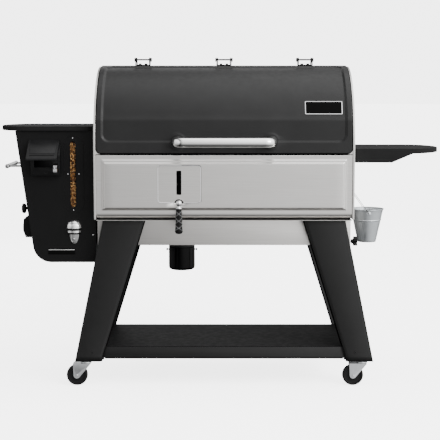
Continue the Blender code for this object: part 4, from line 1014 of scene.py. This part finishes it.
def controller():
    """The controller: moulded housing, smoked display, knurled roller and the flip-up hood."""
    refined("controller_housing", PLASTIC, 0.0012, 3)
    hood = refined("controller_hood", HOOD, 0.0016, 3)
    slope = Vector((0, 0.0801, 0.063)).normalized()
    normal = Vector((0, -slope.z, slope.y))
    top = Vector((0, depth(0.0796), 0.884))
    low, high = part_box("controller_hood")
    narrow = 0.0085
    for vert in hood.data.vertices:
        vert.co.x -= narrow * (vert.co.x - low.x) / (high.x - low.x)
    high.x -= narrow

    def on_slope(u, v, w):
        """Places an outline on the hood's sloping face, v down from its upper edge."""
        return Vector((u, top.y, top.z)) - slope * v + normal * w

    # The second strip is a near-black band standing for a groove across the hood: painted shade.
    for name, look, inset, start, end, corner, rise, bevel in (
            ("hood_panel", HOOD, 0.008, 0.01, 0.076, 0.003, 0.001, 0.0005),
            ("hood_groove_painted_shade", BLACK_AND_PAINTED_SHADE, 0.011, 0.083, 0.0862, 0.001, 0.0003, 0)):
        shape = bmesh.new()
        outline = rounded_outline(low.x + inset, start, high.x - inset, end, corner)
        prism(shape, outline, on_slope, -0.0004, rise, bevel)
        solid(name, shape, look, "controller_hood")
    shape = bmesh.new()
    block(shape, (-0.6598, depth(0.043), 0.7872), (-0.5962, depth(0.0442), 0.8218), 0.0003)
    piece("display_glass", shape, GLASS, "controller_housing")
    low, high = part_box("selector_knob")
    centre = (low + high) / 2
    radius, half = (high.z - low.z) / 2, (high.x - low.x) / 2
    shape = bmesh.new()
    steps = 72
    rings = []
    ribbed = 0.94
    for size, height in mirrored([(0, -half), (0.78, -half), (0.88, -half + 0.0008), (ribbed, -half + 0.0018),
                                  (ribbed, -0.0008), (0.9, -0.0004)]):
        ring = []
        for i in range(steps if size else 1):
            angle = math.tau * i / steps
            reach = radius * (size + (0.06 if size == ribbed and i % 2 else 0))
            place = centre + Vector((height, reach * math.cos(angle), reach * math.sin(angle)))
            ring.append(shape.verts.new(place))
        rings.append(ring)
    skinned(shape, rings, steps)
    solid("roller_knurled", shape, CHROME, "selector_knob", True)
    shape = bmesh.new()
    screws(shape, [(-0.6655, depth(0.05), 0.765)], -Y_AXIS, 0.0024)
    piece("controller_screw", shape, PLASTIC, "controller_housing")
    shape = bmesh.new()
    turned(shape, mm((6.8, -4), (6.8, 1.6), (5.8, 2.4), (4, 2.4), (3.6, -2), (0, -2)),
           (-0.62, depth(0.05), 0.769), -Y_AXIS, 24)
    solid("probe_jack", shape, PLASTIC, "controller_housing")


def rounded_outline(left, low, right, high, radius, steps=4):
    """A rectangle outline with round corners."""
    return (circle(right - radius, high - radius, radius, 0, 90, steps)
            + circle(left + radius, high - radius, radius, 90, 180, steps)
            + circle(left + radius, low + radius, radius, 180, 270, steps)
            + circle(right - radius, low + radius, radius, 270, 360, steps))


def hopper_fittings():
    """Grab bar, clean-out knob and chute, bottle opener, motor, auger tube, fan and mains inlet."""
    low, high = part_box("side_handle")
    radius, half = 0.008, (high.y - low.y) / 2
    x, z = low.x + radius, mid("side_handle", 2)
    shape = bmesh.new()
    bar = [(0, half), (0.004, half - 0.0002), (0.0068, half - 0.0014), (radius, half - 0.0038),
           (radius, half - 0.01), (radius - 0.0006, half - 0.0106)]
    turned(shape, mirrored(bar), (x, mid("side_handle", 1), z), Y_AXIS)
    for near in (0.135, 0.295):
        turned(shape, [(0.004, 0.004), (0.004, high.x - x - 0.0045), (0.0062, high.x - x - 0.0038),
                       (0.0066, high.x - x - 0.0006), (0.006, high.x - x)], (x, depth(near), z), X_AXIS, 20)
    solid("grab_bar", shape, GRAB, "side_handle", True)
    low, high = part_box("cleanout_knob")
    shape = bmesh.new()
    turned(shape, [(0, 0.0004), (0.0105, 0.0), (0.015, 0.001), (0.0176, 0.003), (0.0185, 0.0055),
                   (0.0183, 0.0115), (0.0174, 0.0135), (0.014, 0.0148), (0.0085, 0.0152), (0.0066, 0.0162),
                   (0.0056, 0.018), (0.005, 0.02), (0.005, high.x - low.x)],
           (low.x, mid("cleanout_knob", 1), mid("cleanout_knob", 2)), X_AXIS, 36)
    solid("cleanout_knob_turned", shape, PLASTIC, "cleanout_knob", True)
    refined("cleanout_chute", HOPPER, 0.0022, 3)
    opener()
    for node, look, width in (("auger_motor", BLACK, 0.0012), ("auger_tube", ZINC, 0.0006),
                              ("power_inlet", PLASTIC, 0.0008), ("combustion_fan", PLASTIC, 0.0006)):
        refined(node, look, width)
    low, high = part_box("power_inlet")
    shape = bmesh.new()
    for x in (-0.622, -0.615, -0.608):
        block(shape, (x - 0.0009, high.y - 0.004, 0.465), (x + 0.0009, high.y - 0.0006, 0.4705), 0.0003)
    piece("inlet_pins", shape, CHROME, "power_inlet")
    shape = bmesh.new()
    screws(shape, [(low.x + 0.0055, high.y, 0.4675), (high.x - 0.0055, high.y, 0.4675)], Y_AXIS, 0.0022)
    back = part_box("hopper_body")[1].y
    screws(shape, [(x, back, z) for x in (-0.7, -0.46) for z in (0.87, 0.64)], Y_AXIS, 0.0032)
    piece("back_screws", shape, BLACK, "hopper_body")


def opener():
    """The cast bottle opener: a slotted hood over a curved lip, a throat block painted near-black as shade,
    and a tongue with a screw, in a darker copy of the cast metal as painted shade.
    """
    low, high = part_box("bottle_opener")
    x, y, radius = mid("bottle_opener", 0) - 0.001, high.y, (high.x - low.x) / 2 * 1.13
    top, brow, arcs = 0.595, 0.564, 28
    swell = (y - low.y) * 0.98

    def shell_of(shape, levels):
        """Adds a half-round casting from (height, width, depth) rings, closed at both ends."""
        turns = [math.pi * i / arcs for i in range(arcs + 1)]
        grid = [[shape.verts.new((x - width * math.cos(a), y - out * math.sin(a), z)) for a in turns]
                for z, width, out in levels]
        for one, two in zip(grid, grid[1:]):
            for i in range(arcs):
                shape.faces.new((one[i], one[i + 1], two[i + 1], two[i]))
        shape.faces.new(grid[0])
        shape.faces.new(grid[-1])

    shape = bmesh.new()
    levels = [(brow, radius * 0.965, swell * 0.9), (brow + 0.0008, radius * 0.99, swell * 0.97)]
    for i in range(13):
        rise = math.sin(math.pi / 2 * i / 12.5)
        shrink = (1 - rise ** 2.6) ** 0.45
        notch = 0.9 if i in (5, 9) else 1.0
        levels.append((brow + 0.0016 + (top - brow - 0.0016) * rise, radius * shrink * (0.5 + notch / 2),
                       swell * shrink * notch))
    shell_of(shape, levels)
    shell_of(shape, [(0.5492, radius * 0.88, swell * 0.82), (0.55, radius * 0.91, swell * 0.88),
                     (0.557, radius * 0.93, swell * 0.92), (0.558, radius * 0.9, swell * 0.86)])
    solid("opener_cast", shape, OPENER, "bottle_opener", True)
    shape = bmesh.new()
    flank = mm((16.6, 545), (16, 535), (13.8, 524))
    outline = [(x - u, v) for u, v in flank] + circle(x, 0.5196, 0.0106, 205, 335, 12)
    outline += [(x + u, v) for u, v in flank[::-1]]
    prism(shape, outline, standing, y - 0.0034, y, 0.0009)
    path = [(x + u, y - 0.0036, v) for u, v in ((-0.0108, 0.543), (-0.0095, 0.515), (0.0095, 0.515),
                                                (0.0108, 0.543))]
    rod(shape, bent(path, 0.007, 6), 0.0013, 8)
    # The tongue uses the darker copy of the cast metal: painted shade.
    solid("opener_tongue", shape, TONGUE_PAINTED_SHADE, "bottle_opener")
    # A near-black block in the throat under the hood: painted shade.
    shape = bmesh.new()
    shell_of(shape, [(0.544, radius * 0.8, swell * 0.6), (0.564, radius * 0.8, swell * 0.6)])
    block(shape, (x - 0.012, y - swell * 0.8 - 0.0012, 0.569), (x + 0.012, y - swell * 0.6, 0.5704), 0.0004)
    solid("opener_throat_painted_shade", shape, BLACK_AND_PAINTED_SHADE, "bottle_opener")
    shape = bmesh.new()
    screws(shape, [(x, y - 0.0034, 0.5275)], -Y_AXIS, 0.0036)
    piece("opener_screw", shape, CHROME, "bottle_opener")


# Right side

def bucket():
    """The grease bucket: rolled rim, bead and soldered ears, with its wire bail."""
    low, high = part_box("bucket")
    middle = Vector((mid("bucket", 0), mid("bucket", 1), 0))
    bottom, rim, ear_z = low.z, high.z, 0.5935
    low_r, high_r = 0.0348, 0.0622

    def radius(z):
        """Outer radius at a height."""
        return low_r + (high_r - low_r) * (z - bottom) / (rim - bottom)

    bead = [(radius(z) + 0.0017 * math.exp(-((z - 0.5643) / 0.0014) ** 2), z)
            for z in [0.56 + 0.0006 * i for i in range(15)]]
    rolled = circle(high_r + 0.0004, rim - 0.0021, 0.0019, -120, 200, 12)
    outside = [(0, bottom + 0.003), (low_r - 0.003, bottom + 0.003), (low_r - 0.0022, bottom),
               (low_r - 0.0004, bottom), (low_r + 0.0001, bottom + 0.0012)]
    outside += [(radius(z), z) for z in (0.49, 0.51, 0.535, 0.556)] + bead
    outside += [(radius(z), z) for z in (0.572, 0.59, rim - 0.0065)] + rolled
    inner = [(radius(z) - 0.001, z) for z in (rim - 0.005, 0.58, 0.54, 0.5)]
    inner += [(low_r - 0.002, bottom + 0.005), (0, bottom + 0.0042)]
    shape = bmesh.new()
    turned(shape, outside + inner, middle, Z_AXIS, 56)
    bmesh.ops.recalc_face_normals(shape, faces=shape.faces[:])
    for sign in (-1, 1):
        plate_y = middle.y + sign * (radius(ear_z) + 0.0004)
        outline = mm((-8.5, -6), (8.5, -6), (9.5, 0), (4, 7.5), (-4, 7.5), (-9.5, 0))
        outline = [(middle.x + u, ear_z + v) for u, v in outline]
        prism(shape, outline, standing, plate_y - 0.0009, plate_y + 0.0009, 0.0004)
        turned(shape, mm((4.2, 0), (4, 1.2), (2.6, 1.8), (0, 2)),
               (middle.x, plate_y + sign * 0.0008, ear_z), Y_AXIS * sign, 16)
    piece("pail_seamed", shape, PAIL, "bucket", True)
    low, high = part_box("bucket_bail")
    ear = Vector((middle.x, middle.y, ear_z))
    tip = Vector((low.x + 0.0012, middle.y, high.z - 0.0012))
    lean, stand = tip - ear, 0.0655
    shoulder = lean * 0.42
    path = [ear - Y_AXIS * (stand - 0.005), ear - Y_AXIS * stand]
    steps = 40
    for i in range(steps + 1):
        angle = math.pi * i / steps
        climb = shoulder + (lean - shoulder) * math.sin(angle)
        path.append(ear + climb - Y_AXIS * (stand * math.cos(angle)))
    path += [ear + Y_AXIS * stand, ear + Y_AXIS * (stand - 0.005)]
    shape = bmesh.new()
    rod(shape, path, 0.001, 8)
    piece("bail_wire", shape, WIRE, "bucket_bail", True)


def right_side():
    """Side shelf, spout, star knob and the bucket."""
    refined("side_shelf", SIDE_SHELF, 0.003, 3)
    refined("drain_spout", ZINC, 0.0006)
    refined("ash_knob", PLASTIC, 0.0018, 3)
    bucket()
    shape = bmesh.new()
    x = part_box("drain_spout")[0].x + 0.0025
    screws(shape, [(x, depth(0.36 + away), 0.643) for away in (-0.021, 0.021)], X_AXIS, 0.003)
    piece("spout_screws", shape, CHROME, "drain_spout")


# Fire side, interior and back

def ash_cup():
    """The enamelled cup with its rolled rim, its collar and bayonet pins."""
    low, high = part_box("ash_cup")
    centre = Vector((mid("fire_pot", 0), mid("ash_cup", 1), 0))
    radius, bottom, top = 0.049, low.z, high.z
    outside = [(0, bottom + 0.0016), (0.03, bottom + 0.0012), (0.035, bottom)]
    outside += circle(radius - 0.0125, bottom + 0.0125, 0.0125, -80, 0, 8)
    outside += [(radius, top - 0.01), (radius - 0.0002, top - 0.0045)]
    outside += circle(radius - 0.0022, top - 0.0022, 0.0022, -20, 190, 8)
    outside += [(radius - 0.0042, top - 0.006), (radius - 0.0042, bottom + 0.013), (0.034, bottom + 0.004),
                (0, bottom + 0.0036)]
    shape = bmesh.new()
    turned(shape, outside, centre, Z_AXIS, 48)
    solid("cup_rolled", shape, ENAMEL, "ash_cup", True)
    shape = bmesh.new()
    for sign in (-1, 1):
        place = (centre.x, centre.y, 0.4662)
        turned(shape, mm((2, 47), (2, 51.5), (3.6, 52.3), (4.6, 54.1), (4.6, 56), (3.6, 57.8), (0, 58.5)),
               place, X_AXIS * sign, 16)
    solid("cup_pins", shape, BLACK_AND_PAINTED_SHADE, "ash_cup")
    refined("ash_collar", BLACK, 0.0008)
    shape = bmesh.new()
    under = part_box("belly_tub")[0].z
    turned(shape, mm((50, -3.4), (52.5, -3.4), (53, -2.8), (53, -0.6), (50, -0.4)),
           (centre.x, centre.y, under), Z_AXIS, 48)
    solid("collar_lip", shape, BLACK, "ash_collar")
    refined("ash_gate", ZINC, 0.0004)


def grate(node, bars, bar, shares):
    """A cooking grate of round bars on a round frame, with cross rods below at shares of its depth."""
    low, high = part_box(node)
    thick = (high.z - low.z) / 2
    z = high.z - thick
    rim = thick * 1.15
    shape = bmesh.new()
    corner = 0.012
    left, near = low.x + rim + corner, low.y + rim + corner
    right, far = high.x - rim - corner, high.y - rim - corner
    loop = []
    for x, y, turn in ((left, near, 180), (right, near, 270), (right, far, 0), (left, far, 90)):
        loop += [(u, v, z) for u, v in circle(x, y, corner, turn, turn + 90, 5)]
    rod(shape, loop, rim, 10, loop=True)
    for i in range(bars):
        x = low.x + rim * 2 + (high.x - low.x - rim * 4) * (i + 0.5) / bars
        rod(shape, [(x, low.y + rim, z + bar * 0.2), (x, high.y - rim, z + bar * 0.2)], bar, 8)
    for share in shares:
        y = low.y + (high.y - low.y) * share
        rod(shape, [(low.x + rim, y, z - bar * 0.6), (high.x - rim, y, z - bar * 0.6)], bar, 8)
    solid(node + "_bars", shape, IRON, node, True)


def interior():
    """Grates, tray, deflector, fire pot, igniter and temperature probe."""
    grate("main_grate", 58, 0.0021, (0.2, 0.5, 0.8))
    grate("upper_rack", 46, 0.0019, (0.33, 0.67))
    for node, look, width in (("drip_tray", TRAY, 0.0008), ("heat_deflector", SOOT, 0.0008),
                              ("fire_pot", SOOT, 0.0006), ("flame_damper", SOOT, 0.0005),
                              ("auger", STEEL_BAR, 0.0002)):
        refined(node, look, width)
    pot_low, pot_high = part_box("fire_pot")
    centre = (pot_low + pot_high) / 2
    shape = bmesh.new()
    turned(shape, mm((4.6, -10), (4.6, 52), (4, 56), (0, 57)),
           (centre.x, centre.y - 0.026, 0.51), Z_AXIS, 16)
    solid("igniter", shape, SOOT, "fire_pot")
    shape = bmesh.new()
    wall_x = side(-0.4533)
    turned(shape, mm((7, 0), (7, 6), (4, 8), (3, 10), (3, 60), (1.8, 66), (0, 67)),
           (wall_x, depth(0.285), 0.885), X_AXIS, 16)
    solid("temperature_probe", shape, CHROME, "end_panel_left")


def shell():
    """End panels, the rear shell and the exhaust duct, with their fasteners."""
    for node, look in (("end_panel_left", STEEL_SIDE), ("end_panel_right", STEEL_SIDE),
                       ("rear_shell", LID_COAT), ("exhaust_duct", BLACK)):
        refined(node, look, 0.0012)
    shape = bmesh.new()
    for sign in (-1, 1):
        x = side(sign * 0.46)
        places = [(x, depth(0.05), z) for z in (0.984, 0.718)] + [(x, depth(0.53), z) for z in (0.96, 0.74)]
        screws(shape, places if sign > 0 else places[:1] + places[2:3], X_AXIS * sign, 0.0034)
    piece("panel_screws", shape, BLACK, "cart")
    low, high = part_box("exhaust_duct")
    shape = bmesh.new()
    places = [(x, high.y - 0.0022, z) for x in (low.x + 0.012, high.x - 0.012)
              for z in (low.z + 0.014, high.z - 0.014)]
    screws(shape, places, Y_AXIS, 0.0034)
    piece("duct_screws", shape, CHROME, "cart")


def staged(name, shape, look):
    """Adds a floor or backdrop that only the camera sees."""
    mesh = bpy.data.meshes.new(name)
    shape.to_mesh(mesh)
    shape.free()
    mesh.materials.append(look)
    made = bpy.data.objects.new(name, mesh)
    bpy.context.scene.collection.objects.link(made)
    made.visible_diffuse = False
    made.visible_glossy = False
    made.visible_shadow = False


def studio():
    """A pale floor and backdrop, a soft sky that is brighter above and to the right, and the camera."""
    floor = bmesh.new()
    bmesh.ops.create_grid(floor, x_segments=1, y_segments=1, size=60)
    pale = Look("pale_floor", (0.93, 0.93, 0.93), 0.9, Emission_Color=(1, 1, 1, 1), Emission_Strength=3.6)
    pale.shade(pale.noise(3, detail=2), 0.01)
    staged("floor", floor, pale.material)
    dome = bmesh.new()
    bmesh.ops.create_uvsphere(dome, u_segments=48, v_segments=24, radius=55)
    glow = Look("pale_backdrop", (0, 0, 0), 1.0, Specular_IOR_Level=0.0, Emission_Color=(1, 1, 1, 1),
                Emission_Strength=4.6)
    staged("backdrop", dome, glow.material)
    world = bpy.data.worlds.new("studio")
    bpy.context.scene.world = world
    world.use_nodes = True
    tree = world.node_tree
    source = tree.nodes.new("ShaderNodeTexCoord")
    split = tree.nodes.new("ShaderNodeSeparateXYZ")
    tree.links.new(source.outputs["Generated"], split.inputs["Vector"])
    values = []
    for axis, low, high, start, end in (("Z", 0.1, 1.16, -0.78, -0.04), ("Z", 1.0, 1.62, 0.14, 0.65),
                                        ("X", 0.04, 2.16, -0.42, 0.42), ("X", 24.0, 1.0, -0.64, -0.46),
                                        ("Y", 1.0, 0.22, 0.0, 0.7)):
        ramp = tree.nodes.new("ShaderNodeMapRange")
        for name, value in (("From Min", start), ("From Max", end), ("To Min", low), ("To Max", high)):
            ramp.inputs[name].default_value = value
        tree.links.new(split.outputs[axis], ramp.inputs["Value"])
        values.append(ramp.outputs["Result"])
    strength = values[0]
    for value in values[1:]:
        product = tree.nodes.new("ShaderNodeMath")
        product.operation = "MULTIPLY"
        tree.links.new(strength, product.inputs[0])
        tree.links.new(value, product.inputs[1])
        strength = product.outputs["Value"]
    sky = tree.nodes["Background"]
    sky.inputs["Color"].default_value = (1, 1, 1, 1)
    tree.links.new(strength, sky.inputs["Strength"])
    for name, place, size, power in (("key", (2.9, -3, 3), 2.2, 150), ("fill", (-3, -3.6, 2.2), 2.4, 12),
                                     ("top", (0.3, 0.2, 3.6), 2.5, 22), ("back", (-0.8, 3.6, 1.8), 2.6, 26)):
        light = bpy.data.lights.new(name, "AREA")
        light.size = size
        light.energy = power
        lamp = bpy.data.objects.new(name, light)
        lamp.location = place
        lamp.rotation_euler = (Vector((0, 0, 0.8)) - Vector(place)).to_track_quat("-Z", "Y").to_euler()
        bpy.context.scene.collection.objects.link(lamp)
    lens = bpy.data.cameras.new("camera")
    lens.lens = 97.94
    lens.sensor_width = 36
    camera = bpy.data.objects.new("camera", lens)
    camera.location = (0, FRONT - 4.2, 1.09)
    camera.rotation_euler = (math.radians(90 - 6.6), 0, 0)
    bpy.context.scene.collection.objects.link(camera)
    bpy.context.scene.camera = camera


for build in (lid, badge, handle, hinges, front_panel, belly, lever, cart, pellets, hopper, controller,
              hopper_fittings, right_side, ash_cup, interior, shell, studio):
    build()
